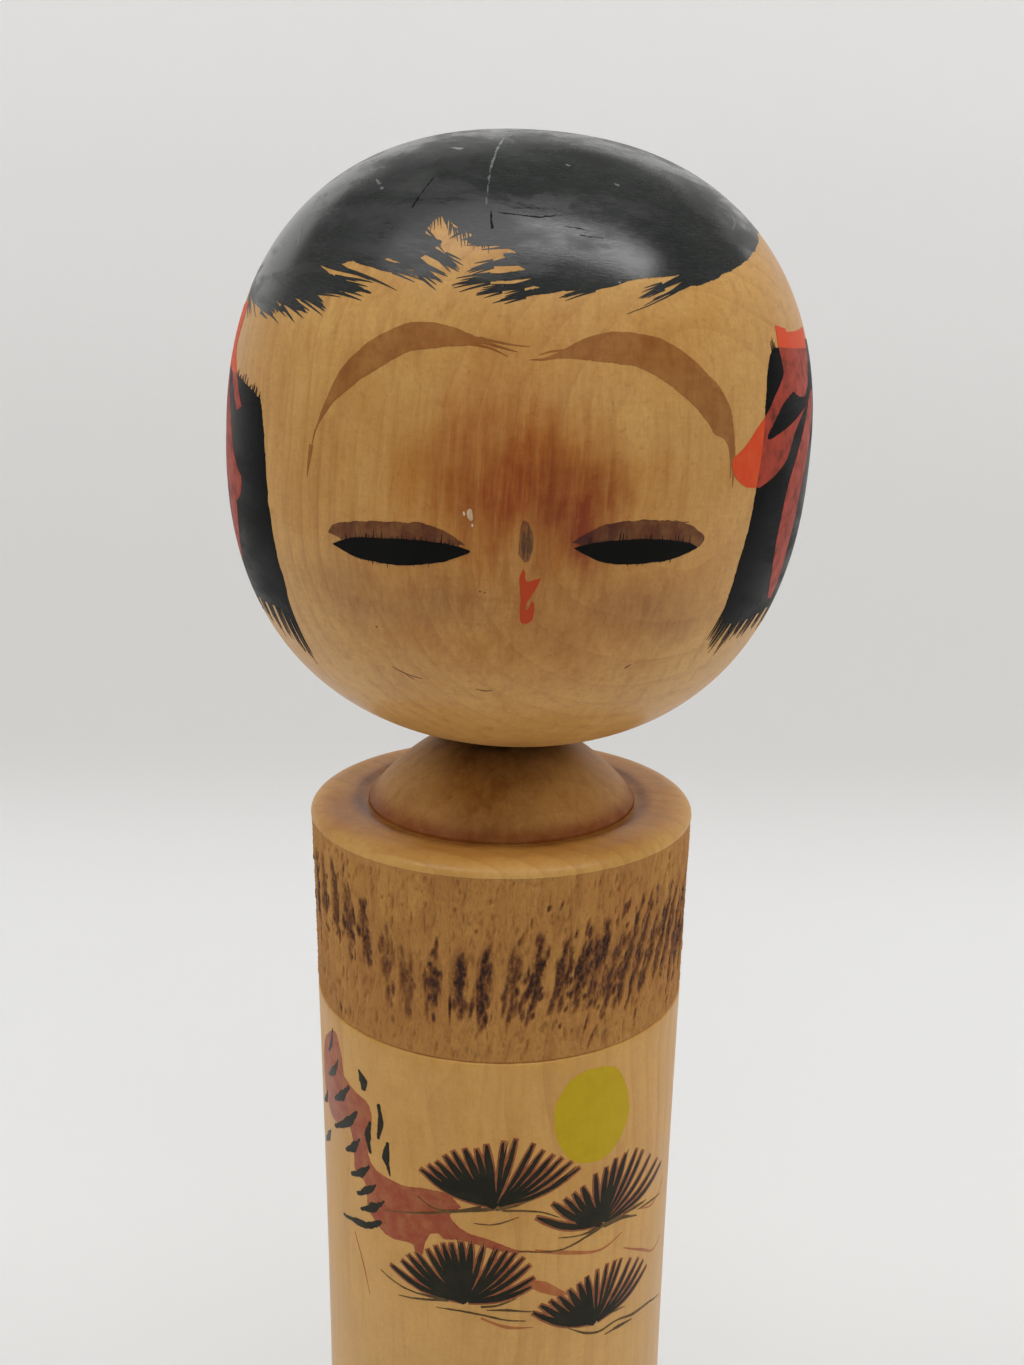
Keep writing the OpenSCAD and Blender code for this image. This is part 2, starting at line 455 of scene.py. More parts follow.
def wood(name, pith, pith_lean, ring, pale, mid, dark, stains_and_shade=(), tint=None, rings=0.35, lathe=0.0,
         streaks=1.0, flecks=0.2, coat=0.1, roughness=0.42, band=False, wear_and_shade=()):
    """Aged, waxed, turned wood: growth rings round a pith, fibres along z, mottling, stain blobs and painted
    shade.

    Each blob is (centre, size, colour, amount) in millimetres: a real stain, or painted shade where its
    list says so. The rings are soft rings of colour round the axis, painted shade among them:
    (radius, width, height, reach, colour, amount). tint is a thin wash.
    """
    n = Nodes(name)
    where = n.place()
    drift = n.add("ShaderNodeTexNoise", {"Vector": where, "Scale": 0.02, "Detail": 2.0}).outputs["Color"]
    bent = n.vector("ADD", where, n.vector("MULTIPLY", n.vector("SUBTRACT", drift, (0.5, 0.5, 0.5)),
                                           (9, 9, 9)))
    across = n.place(tuple(-c for c in pith), pith_lean, (1, 1, 0), of=bent)
    distance = n.vector("LENGTH", across)
    ring_at = n.math("FRACT", n.math("DIVIDE", distance, ring))
    late = n.math("POWER", ring_at, 3.0)
    uneven = n.noise(n.place(scaled=(0.1, 0.1, 0.02), of=where), 1.0, 3.0)
    fibre = n.noise(n.place(scaled=(4.0, 4.0, 0.2), of=bent), 1.0, 4.0, 0.6)
    ribbon = n.noise(n.place(scaled=(0.7, 0.7, 0.05), of=bent), 1.0, 3.0, 0.6)
    fleck = n.noise(n.place(scaled=(0.7, 0.7, 0.9), of=where), 1.0, 5.0, 0.72)
    mottle = n.noise(where, 0.07, 5.0, 0.62)
    fine = n.noise(where, 1.6, 4.0, 0.7)
    turned_line = n.noise(n.place(scaled=(0.12, 0.12, 2.6), of=where), 1.0, 3.0, 0.6)

    colour = n.mix(n.ramp(mottle, 0.32, 0.68), mid, pale)
    colour = n.mix(n.math("MULTIPLY", late, n.ramp(uneven, 0.3, 0.7, 0.3 * rings, rings)), colour, dark)
    for value, low, high, least, most in (
        (fibre, 0.45, 0.8, 0.0, 0.3 * streaks), (ribbon, 0.45, 0.75, 0.0, 0.35 * streaks),
        (fleck, 0.54, 0.72, 0.0, flecks), (turned_line, 0.45, 0.75, 0.0, lathe), (fine, 0.3, 0.7, 0.16, 0.0),
    ):
        colour = n.mix(n.ramp(value, low, high, least, most), colour, dark)
    smudge = n.noise(where, 0.16, 5.0, 0.68)
    streak = n.noise(n.place(scaled=(0.8, 0.8, 0.07), of=where), 1.0, 4.0, 0.65)
    shift = n.vector("MULTIPLY", n.vector("SUBTRACT", n.add(
        "ShaderNodeTexNoise", {"Vector": where, "Scale": 0.09, "Detail": 4.0}).outputs["Color"],
        (0.5, 0.5, 0.5)), (12, 12, 16))
    spread = n.vector("ADD", where, shift)
    broken = n.math("MULTIPLY", n.ramp(smudge, 0.25, 0.7, 0.7, 1.1), n.ramp(streak, 0.3, 0.7, 0.65, 1.15))
    # Each blob multiplies the colour: a real stain, or painted shade where its list says so.
    for centre, size, stain, amount in stains_and_shade:
        inside_stain_and_shade = n.blob(spread, centre, size)
        colour = n.mix(n.math("MULTIPLY", n.math("MULTIPLY", inside_stain_and_shade, broken), amount, clamp=True),
                       colour, stain, "MULTIPLY")
    # Each ring multiplies the colour round the axis: painted shade, such as the head's shadow over the
    # collar, and rings of the wood's own darker tone.
    if wear_and_shade:
        parts = n.add("ShaderNodeSeparateXYZ", {0: where})
        radius = n.vector("LENGTH", n.vector("MULTIPLY", where, (1, 1, 0)))
        for ring_r, width, high, reach, stain, amount in wear_and_shade:
            near = n.math("DIVIDE", n.math("ABSOLUTE", n.math("SUBTRACT", radius, ring_r)), width)
            level = n.math("DIVIDE", n.math("ABSOLUTE", n.math("SUBTRACT", parts.outputs[2], high)), reach)
            both = n.math("MULTIPLY", n.ramp(near, 0.0, 1.0, 1.0, 0.0), n.ramp(level, 0.0, 1.0, 1.0, 0.0))
            both = n.math("MULTIPLY", both, n.ramp(smudge, 0.25, 0.7, 0.6, 1.1))
            colour = n.mix(n.math("MULTIPLY", both, amount, clamp=True), colour, stain, "MULTIPLY")
    gloss = n.ramp(mottle, 0.3, 0.7, roughness - 0.06, roughness + 0.1)
    height = n.math("ADD", n.math("MULTIPLY", fibre, 0.6), n.math("MULTIPLY", fine, 0.25))
    strength = 0.12
    if band:
        mark = n.add("ShaderNodeAttribute", attribute_name="stain").outputs["Fac"]
        pit = n.add("ShaderNodeAttribute", attribute_name="pit").outputs["Fac"]
        torn = n.noise(n.place(scaled=(3.2, 3.2, 0.9), of=where), 1.0, 4.0, 0.7)
        shred = n.noise(n.place(scaled=(1.6, 1.6, 0.6), of=where), 1.0, 4.0, 0.7)
        colour = n.mix(n.ramp(torn, 0.5, 0.7, 0.0, 0.5), colour, srgb(140, 86, 38))
        colour = n.mix(n.ramp(shred, 0.55, 0.72, 0.0, 0.35), colour, srgb(206, 156, 92))
        colour = n.mix(n.ramp(pit, 0.1, 0.9, 0.0, 0.6), colour, srgb(120, 70, 32))
        grit = n.noise(n.place(scaled=(2.4, 2.4, 1.1), of=where), 1.0, 5.0, 0.75)
        deep = n.math("MULTIPLY", mark, n.ramp(grit, 0.32, 0.6, 0.5, 1.2), clamp=True)
        colour = n.mix(n.ramp(deep, 0.05, 0.55, 0.0, 0.85), colour, srgb(112, 62, 30))
        colour = n.mix(n.ramp(deep, 0.35, 0.95, 0.0, 0.95), colour, srgb(48, 28, 20))
        gloss = n.math("ADD", gloss, 0.15)
        splinters = n.math("SUBTRACT", n.math("MULTIPLY", shred, 2.0), pit)
        height = n.math("ADD", n.math("MULTIPLY", torn, 2.0), splinters)
        strength = 0.65
    if tint is not None:
        uneven_wash = n.ramp(n.noise(where, 0.5, 4.0, 0.6), 0.3, 0.7, 0.8, 1.0)
        colour = n.mix(uneven_wash, colour, tint, "MULTIPLY")
    return n.finish(colour, gloss, height, strength, 0.00025 if band else 0.0001, coat)


def ink(name, colour, wear_and_shade, haze=0.25, grain=0.3, roughness=0.34, dulled=0.12, haze_scale=0.06, specular=0.3):
    """Waxed black ink on wood: dusty haze, fine scratches and a faint lathe grain.

    dulled is how much rougher the ink is where its wax has rubbed off.
    """
    n = Nodes(name)
    where = n.place()
    cloud = n.noise(where, haze_scale, 5.0, 0.6, 0.6)
    dust = n.noise(where, 2.2, 4.0, 0.75)
    brush = n.noise(n.place(scaled=(0.9, 0.9, 6.0), of=where), 1.0, 3.0, 0.6)
    scratch = n.noise(n.place(turned_by=(0.4, 0.7, 0.3), scaled=(0.35, 9.0, 0.35), of=where), 1.0, 2.0, 0.5)
    speck = n.noise(where, 1.1, 2.0, 0.5)
    wax = n.noise(n.place((7, 3, 5), scaled=(0.05, 0.05, 0.16), of=where), 1.0, 6.0, 0.68, 0.3)
    level = n.add("ShaderNodeSeparateXYZ", {0: where}).outputs[2]
    settled = n.math("MULTIPLY", n.ramp(cloud, 0.4, 0.7, 0.3 * haze, haze), n.ramp(level, 28, 41, 0.5, 1.9))
    tone = n.mix(settled, colour, wear_and_shade)
    tone = n.mix(n.ramp(dust, 0.55, 0.8, 0.0, 0.35 * grain), tone, wear_and_shade)
    tone = n.mix(n.ramp(brush, 0.45, 0.75, 0.0, 0.25 * grain), tone, wear_and_shade)
    tone = n.mix(n.ramp(scratch, 0.7, 0.78, 0.0, 0.3 * grain), tone, wear_and_shade)
    tone = n.mix(n.ramp(speck, 0.74, 0.78, 0.0, 0.6 * grain), tone, wear_and_shade)
    gloss = n.ramp(wax, 0.42, 0.64, roughness - 0.03, roughness + dulled)
    height = n.math("ADD", brush, n.math("MULTIPLY", dust, 0.4))
    return n.finish(tone, gloss, height, 0.1, specular=specular)


def dye(name, colour, thin, patchy):
    """Translucent dye: brush streaks and patches where less of it took."""
    n = Nodes(name)
    where = n.place()
    patch = n.noise(where, 0.45, 5.0, 0.65)
    streak = n.noise(n.place(scaled=(1.8, 1.8, 0.25), of=where), 1.0, 3.0, 0.6)
    thinned = n.ramp(streak, 0.5, 0.8, 0.0, patchy * 0.6)
    amount = n.math("ADD", n.ramp(patch, 0.4, 0.75, 0.0, patchy), thinned, clamp=True)
    return n.finish(n.mix(amount, colour, thin), n.ramp(patch, 0.3, 0.7, 0.42, 0.54), streak, 0.08,
                    specular=0.15)


# ---------------------------------------------------------------- materials

face_stains_and_shade = [
    # centre, size, colour, amount
    ((0, -42, -6), (38, 36, 24), srgb(230, 197, 122), 1.0),
    ((0, -40, -22), (36, 32, 13), srgb(230, 208, 156), 0.9),
    ((0, -43, -1), (16, 26, 17), srgb(206, 150, 97), 1.0),
    ((-6, -43, 5), (8, 20, 12), srgb(226, 188, 150), 0.6),
    ((8.5, -42, -5.5), (8, 20, 9), srgb(200, 138, 84), 1.1),
    ((4, -42, 14), (22, 24, 7), srgb(232, 200, 162), 0.5),
    # Painted shade: the next three blobs grey the cheeks below the eyes.
    ((-20, -37, -17), (14, 18, 7), srgb(214, 206, 210), 0.8),
    ((-7, -41, -17), (8, 18, 6), srgb(214, 206, 210), 0.8),
    ((18, -38, -16), (13, 18, 8), srgb(214, 202, 204), 0.8),
]
FACE_WOOD = dict(HEAD_WOOD, stains_and_shade=face_stains_and_shade, rings=0.25, lathe=0.08, flecks=0.3, streaks=0.8)
head_wood = wood("head wood", **FACE_WOOD)
# Rings on the shoulder: the first is painted shade in the cove round the collar's foot; the second darkens
# the shoulder's top a little.
shoulder_shade_and_tone = [(22.2, 2.6, TOP, 2.0, srgb(178, 156, 134), 1.0), (25, 6, TOP, 2.0, srgb(228, 212, 186), 1.0)]
body_stains = [
    ((0, 0, 158), (80, 80, 52), srgb(252, 240, 206), 1.0),
    ((-14, -30, 162), (5, 8, 4), srgb(226, 206, 170), 0.8),
    ((-25, -10, TOP), (11, 14, 6), srgb(226, 202, 160), 1.0),
]
column_wood = wood("column wood", **BODY_WOOD, streaks=0.6, wear_and_shade=shoulder_shade_and_tone, stains_and_shade=body_stains)
BAND_WOOD = dict(BODY_WOOD, pale=srgb(212, 156, 82), mid=srgb(198, 138, 68), dark=srgb(158, 98, 44))
band_wood = wood("carved band wood", **BAND_WOOD, coat=0.0, roughness=0.55, streaks=1.2, band=True)
COLLAR_WOOD = dict(
    BODY_WOOD, pith=(-30, 70, 0),
    pale=srgb(206, 158, 90), mid=srgb(194, 141, 73), dark=srgb(146, 94, 44),
)
# Rings on the collar: the first is painted shade, the head's shadow laid near black over the collar's top;
# the second is a reddish-brown ring round its foot.
collar_shade_and_tone = [(2, 19, TOP + 18, 16, srgb(44, 28, 16), 2.4), (20.6, 3.0, TOP, 3.0, srgb(190, 140, 108), 1.0)]
# The blob on the collar's front is painted shade: the head's shadow reaching down it.
collar_wood = wood("collar wood", **COLLAR_WOOD, coat=0.0, roughness=0.5, rings=0.2, wear_and_shade=collar_shade_and_tone,
                   stains_and_shade=[((-2, -17, TOP + 8), (13, 13, 10), srgb(206, 186, 160), 1.2)])
tenon_wood = wood("tenon wood", **dict(HEAD_WOOD, ring=1.8), coat=0.0, roughness=0.6)

brow_wash = wood("brow wash", **FACE_WOOD, tint=srgb(194, 166, 146))
lid_wash = wood("lid wash", **dict(FACE_WOOD, streaks=2.4), tint=srgb(126, 88, 56))
nose_wash = wood("nose wash", **FACE_WOOD, tint=srgb(176, 164, 166))
nose_core = wood("nose core", **FACE_WOOD, tint=srgb(112, 102, 104))
scratch_tone = wood("scratch tone", **FACE_WOOD, tint=srgb(120, 70, 64))
pale_chip = wood("pale chip", **dict(HEAD_WOOD, pale=srgb(240, 225, 195), mid=srgb(235, 215, 180)), coat=0.0)

hair_ink = ink("hair ink", srgb(38, 40, 39), srgb(104, 107, 103), haze=0.24, grain=0.7, roughness=0.21,
               dulled=0.24, specular=0.6)
scuff_ink = ink("scuffed ink", srgb(92, 96, 94), srgb(150, 152, 146), haze=0.6, grain=0.9, specular=0.3)
crack_ink = ink("cracked ink", srgb(14, 15, 15), srgb(40, 40, 38), specular=0.1)
lock_ink = ink("lock ink", srgb(13, 13, 13), srgb(86, 92, 96), haze=0.06, grain=0.12, haze_scale=0.1,
               specular=0.04)
eye_ink = ink("eye ink", srgb(13, 13, 12), srgb(70, 68, 62), haze=0.08, grain=0.2, specular=0.07)
twig_ink = ink("twig ink", srgb(62, 50, 30), srgb(120, 92, 56), haze=0.6, grain=0.6, haze_scale=0.3,
               specular=0.1)
pine_ink = ink("pine ink", srgb(28, 30, 22), srgb(64, 58, 40), haze=0.25, grain=0.5, haze_scale=0.2,
               specular=0.1)

red_dye = dye("red dye", srgb(222, 76, 36), srgb(224, 112, 62), 0.35)
red_on_black = dye("red over black", srgb(176, 66, 46), srgb(66, 34, 28), 0.7)
lip_dye = dye("lip dye", srgb(196, 70, 34), srgb(184, 84, 42), 0.3)
sun_dye = dye("sun dye", srgb(200, 168, 22), srgb(186, 150, 30), 0.4)
trunk_dye = wood("trunk wash", **BODY_WOOD, tint=srgb(188, 98, 66), streaks=0.6)
branch_dye = wood("branch wash", **BODY_WOOD, tint=srgb(208, 142, 102), streaks=0.6)
bleed_dye = wood("bleeding edge", **BODY_WOOD, tint=srgb(170, 104, 70), streaks=0.6)

# ---------------------------------------------------------------- turned wood


def half_head(angles, reach):
    """Half of the head's outline: angles from its widest level towards a pole that lies at reach."""
    power = 2 / HEAD_POWER
    return [(HEAD_R * max(math.cos(s), 0) ** power, reach * math.sin(s) ** power) for s in angles]


chin_t = math.asin((abs(CHIN_H) / HEAD_DOWN) ** (HEAD_POWER / 2))
ball = (
    [(0, CHIN_H + TENON_IN_HEAD), (TENON_R + 0.03, CHIN_H + TENON_IN_HEAD), (TENON_R + 0.03, CHIN_H + 0.4),
     (TENON_R + 0.4, CHIN_H), (CHIN_FLAT_R - 1, CHIN_H)]
    + half_head(np.linspace(chin_t, 0, 60), -HEAD_DOWN)
    + half_head(np.linspace(0, math.pi / 2, 60)[1:-1], HEAD_UP)
    + [(0, HEAD_UP)]
)
head_ball = turned("head_ball", ball, "head", HEAD_PLACE, head_wood)
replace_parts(head_ball, "head")

quarter = np.linspace(0, math.pi / 2, 12)
seat_z = TOP - SEAT_DEPTH
band_low, band_high = SCRIBE_Z + 0.02, SHOULDER_Z - 0.03
column = (
    [(0, 0), (15, 0)]
    + [(wall(FOOT_ROUND) - FOOT_ROUND * (1 - math.sin(s)), FOOT_ROUND * (1 - math.cos(s))) for s in quarter]
    + [(wall(z), z) for z in np.linspace(FOOT_ROUND + 2, SCRIBE_Z - SCRIBE_W / 2 - 0.1, 60)]
    + [(wall(SCRIBE_Z) - 0.03, SCRIBE_Z - SCRIBE_W / 2), (wall(SCRIBE_Z) - SCRIBE_DEPTH, SCRIBE_Z),
       (wall(SCRIBE_Z) - BAND_RECESS, SCRIBE_Z + 0.01), (wall(band_high) - BAND_RECESS, band_high + 0.01),
       (SHOULDER_R - 0.02, band_high + 0.02)]
    + [(SHOULDER_R - BEVEL_W * (1 - math.cos(s)), SHOULDER_Z + BEVEL_H * math.sin(s)) for s in quarter]
    + [(r, TOP) for r in (25.5, 24.4, 23.4)]
    + [(COLLAR_R + 0.1 + COVE_W * (0.5 + 0.5 * math.cos(s)), TOP - COVE_DEPTH * (0.5 - 0.5 * math.cos(s)))
       for s in np.linspace(0, math.pi, 14)]
    + [(COLLAR_R + SEAT_GAP, TOP - COVE_DEPTH - 0.03), (COLLAR_R + SEAT_GAP, seat_z),
       (SPIGOT_R + 0.05, seat_z),
       (SPIGOT_R + 0.05, SPIGOT_Z - 1), (0, SPIGOT_Z - 1)]
)
column_piece = turned("column", column, "body", BODY_PLACE, column_wood, smooth_angle=40)
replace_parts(column_piece, "body")


def collar():
    """The domed collar: its top face, bore and flange room lie on the leaning axis."""
    segments = 192
    lean = np.array(LEANING)[:3, :3]
    origin = np.array(LEANING)[:3, 3] / MM
    collar_top = HEAD_AT + CHIN_H - 0.1
    turn = np.linspace(0, 2 * math.pi, segments, endpoint=False)
    sine, cosine = np.sin(turn), -np.cos(turn)

    def upright(r, z):
        return np.stack([r * sine, r * cosine, np.full(segments, z)], -1)

    def leaning_ring(r, z):
        return np.stack([r * sine, r * cosine, np.full(segments, z)], -1) @ lean.T + origin

    slope = math.radians(DOME_SLOPE)
    angle = np.linspace(slope, math.radians(8), 400)
    r = COLLAR_R - DOME_ARC_R * (math.sin(slope) - np.sin(angle))
    z = TOP + DOME_ARC_R * (np.cos(angle) - math.cos(slope))
    stop = []
    for s, c in zip(sine, cosine):
        points = np.stack([r * s, r * c, z], -1) - origin
        stop.append(np.interp(collar_top, points @ lean[:, 2], angle))
    stop = np.array(stop)
    rings = [leaning_ring(FLANGE_ROOM_R, collar_top - BEARING_L - 8.8), upright(SPIGOT_R - 0.6, SPIGOT_Z),
             upright(SPIGOT_R, SPIGOT_Z + 0.6), upright(SPIGOT_R, seat_z), upright(COLLAR_R - 0.2, seat_z),
             upright(COLLAR_R, seat_z + 0.2), upright(COLLAR_R, TOP - 0.5), upright(COLLAR_R, TOP - 0.25)]
    for k in np.linspace(0, 1, 40):  # up the dome, from its foot to where the leaning top face cuts it
        here = slope + (stop - slope) * k
        rr = COLLAR_R - DOME_ARC_R * (math.sin(slope) - np.sin(here))
        zz = TOP + DOME_ARC_R * (np.cos(here) - math.cos(slope))
        rings.append(np.stack([rr * sine, rr * cosine, zz], -1))
    rings += [leaning_ring(TENON_R + 0.05, collar_top), leaning_ring(TENON_R + 0.05, collar_top - BEARING_L),
              leaning_ring(FLANGE_ROOM_R, collar_top - BEARING_L)]
    verts = np.vstack(rings)
    faces = []
    for k in range(len(rings)):
        low, high = k * segments, (k + 1) % len(rings) * segments
        for i in range(segments):
            j = (i + 1) % segments
            faces.append([low + i, low + j, high + j, high + i])
    return piece("collar_dome", verts, faces, "body", BODY_PLACE, [collar_wood], 30)


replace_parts(collar(), "neck_collar")
for obj in frame["nodes"].values():
    if obj.name.startswith("neck_tenon"):
        for s in obj.material_slots:
            s.material = tenon_wood


def carved_band():
    """The band of torn tool marks, with a stain and a pit value stored on each of its points."""
    around, up = 640, 104
    a = np.linspace(-180, 180, around, endpoint=False)
    z = np.linspace(band_low, band_high, up)
    A, Z = np.meshgrid(a, z)
    X = np.radians(A) * SHOULDER_R
    girth = 2 * math.pi * SHOULDER_R
    pit, stain = np.zeros_like(A), np.zeros_like(A)
    rng = np.random.default_rng(11)

    def mark(x, zc, width, length, slant):
        """How much of a slanted torn mark covers each point, 0 to 1."""
        dx = (X - x + girth / 2) % girth - girth / 2
        dz = Z - zc
        across = (dx - slant * dz) / width
        along = dz / length
        return np.clip(1.15 - np.hypot(across, along), 0, 1) ** 0.6 * (np.hypot(across, along) < 1.15)

    for _ in range(2600):
        x, zc = rng.uniform(-girth / 2, girth / 2), rng.uniform(band_low - 0.5, band_high - 0.4)
        width, length = rng.uniform(0.14, 0.36), rng.uniform(0.4, 1.7)
        pit = np.maximum(pit, mark(x, zc, width, length, rng.uniform(-0.05, 0.2)) * rng.uniform(0.2, 0.85))
    x0 = -girth / 2
    while x0 < girth / 2 - 1.5:
        place = math.degrees(x0 / SHOULDER_R)
        # the clumps round the doll: degrees, then each one's height, reach and slant
        front = [-180, -120, -75, -48, -38, -25, -10, 10, 30, 50, 70, 120, 180]
        middle = float(np.interp(place, front, [187, 187, 193, 194, 191, 187, 187.5, 187, 189, 189, 188,
                                                189, 187]))
        reach = float(np.interp(place, front, [4, 4, 5, 5, 5, 4.6, 4.8, 5.2, 6.4, 7, 7, 5, 4]))
        slant = float(np.interp(place, front, [0.1, 0, -0.05, -0.12, -0.1, 0, 0.05, 0.12, 0.25, 0.32, 0.3,
                                               0.15, 0.1]))
        middle += rng.uniform(-1.2, 1.2)
        dark = rng.uniform(0.7, 1.0) * (0.7 if -40 < place < -22 else 1.0)
        halo = mark(x0, middle, rng.uniform(1.3, 1.9), reach * 1.15, slant)
        stain = np.maximum(stain, 0.5 * halo * dark)
        for _ in range(int(rng.integers(30, 44))):
            zc = np.clip(middle - 0.8 + rng.normal(0, reach * 0.55), band_low + 1, band_high - 1.5)
            x = x0 + slant * (zc - middle) + rng.normal(0, 0.55)
            m = mark(x, zc, rng.uniform(0.22, 0.55), rng.uniform(0.6, 2.0), slant + rng.uniform(-0.08, 0.1))
            stain = np.maximum(stain, m * dark * rng.uniform(0.5, 1.2))
            pit = np.maximum(pit, m * rng.uniform(0.4, 1.0))
        x0 += (3.9 if place < 12 else 2.7) * rng.uniform(0.85, 1.15)
    for _ in range(420):
        place = rng.uniform(-180, 180)
        zc = rng.uniform(band_low + 1, band_high - 1)
        m = mark(math.radians(place) * SHOULDER_R, zc, rng.uniform(0.15, 0.35), rng.uniform(0.4, 1.3),
                 rng.uniform(0, 0.3))
        stain = np.maximum(stain, m * rng.uniform(0.15, 0.75) * (1.0 if place > 10 or place < -45 else 0.45))
        pit = np.maximum(pit, m * rng.uniform(0.3, 0.8))
    top_bite = 0.5 + 0.5 * np.sin(X * 1.7) * np.sin(X * 0.43 + 1)
    edge = np.clip(np.minimum((Z - band_low) / 0.6, (band_high - Z) / (0.3 + 0.9 * top_bite)), 0, 1)
    foot = np.clip(1 - (Z - band_low) / 0.3, 0, 1)
    pit, stain = pit * edge, stain * edge
    waves = 0.05 * np.sin(X / 0.75 + 0.9 * Z) * edge
    for _ in range(900):  # torn lips between the marks
        x, zc = rng.uniform(-girth / 2, girth / 2), rng.uniform(band_low + 1, band_high - 1)
        lip = 0.16 * mark(x, zc, rng.uniform(0.3, 0.7), rng.uniform(0.8, 2.2), rng.uniform(-0.1, 0.3))
        waves = waves + lip * edge * rng.uniform(-1, 1)
    grain = 0.03 * rng.normal(0, 1, A.shape) * edge
    lift = -0.34 * pit - 0.06 * edge + 0.6 * waves + grain - 0.02 - SCRIBE_DEPTH * foot
    outer = on_body(A.ravel(), Z.ravel(), lift.ravel())
    inner_low = on_body(a, np.full(around, band_low), -BAND_RECESS + 0.02)
    inner_high = on_body(a, np.full(around, band_high), -BAND_RECESS + 0.02)
    verts = np.vstack([outer, inner_low, inner_high])
    base = around * up
    faces = []
    for j in range(up - 1):
        for i in range(around):
            k = (i + 1) % around
            faces.append([j * around + i, j * around + k, (j + 1) * around + k, (j + 1) * around + i])
    last = (up - 1) * around
    for i in range(around):
        k = (i + 1) % around
        faces.append([base + i, base + k, k, i])
        faces.append([last + i, last + k, base + around + k, base + around + i])
        faces.append([base + around + i, base + around + k, base + k, base + i])
    obj = piece("carved_band", verts, faces, "body", BODY_PLACE, [band_wood], 80)
    for key, values in (("stain", stain), ("pit", pit)):
        layer = obj.data.attributes.new(key, "FLOAT", "POINT")
        layer.data.foreach_set("value", np.concatenate([values.ravel(),
                                                        np.zeros(2 * around)]).astype(np.float32))


carved_band()

# ---------------------------------------------------------------- hair


def head_paint(name, shapes, chart, materials, slot, **options):
    paint(name, shapes, chart, on_head, "head", HEAD_PLACE, materials, slot, **options)


def hair_details(name, marks, amount, seed, material):
    """Short wandering marks that lie just over the hair."""
    shapes = [rough(stroke(CROWN, p, w), amount, seed + k, 0.5) for k, (p, w) in enumerate(marks)]
    head_paint(name, shapes, CROWN, [material], "hair_paint", lift=0.045, sink=-0.01)


hairline = outline([
    (-180, 24), (-150, 25), (-120, 26), (-98, 23), (-84, 20.5), (-76, 19.6), (-68, 19.3), (-60, 19.2),
    (-52, 19.8), (-46, 20.2), (-41, 20.9), (-38, 21.4),
], [
    (-38, 21.4), (-41, 22.2), (-44, 23),
], [
    (-44, 23), (-40, 23), (-36.4, 23.7), (-33, 23.9), (-30, 23.8), (-26.5, 24.6), (-22.5, 24.2),
], [
    (-22.5, 24.2), (-20, 25), (-19.4, 25.6),
], [
    (-19.4, 25.6), (-17.8, 26.5), (-19.8, 27),
], [
    (-19.8, 27), (-22, 27.7), (-21.2, 28.8),
], [
    (-21.2, 28.8), (-19.4, 29.6), (-16.8, 28.8), (-13.8, 27.9), (-10.2, 27.7),
], [
    (-10.2, 27.7), (-12.8, 26.9), (-10.6, 26.3),
], [
    (-10.6, 26.3), (-6.6, 26.5), (-4, 26.2), (-2.6, 25.8),
], [
    (-2.6, 25.8), (-5.6, 25.6), (-3.6, 24.7),
], [
    (-3.6, 24.7), (-1, 24), (0.6, 23.1),
], [
    (0.6, 23.1), (-0.6, 22.4), (5, 21.8), (11.4, 22.6), (20.8, 23.9), (30.7, 24.8),
], [
    (30.7, 24.8), (28.8, 23.2),
], [
    (28.8, 23.2), (34, 23.8), (38, 24.6), (47.2, 26.5), (54.5, 28.1), (65, 30.2), (72, 31.4), (90, 31.5),
    (115, 29), (140, 26), (165, 24.5), (180, 24),
], steps=12, round_crown=True)
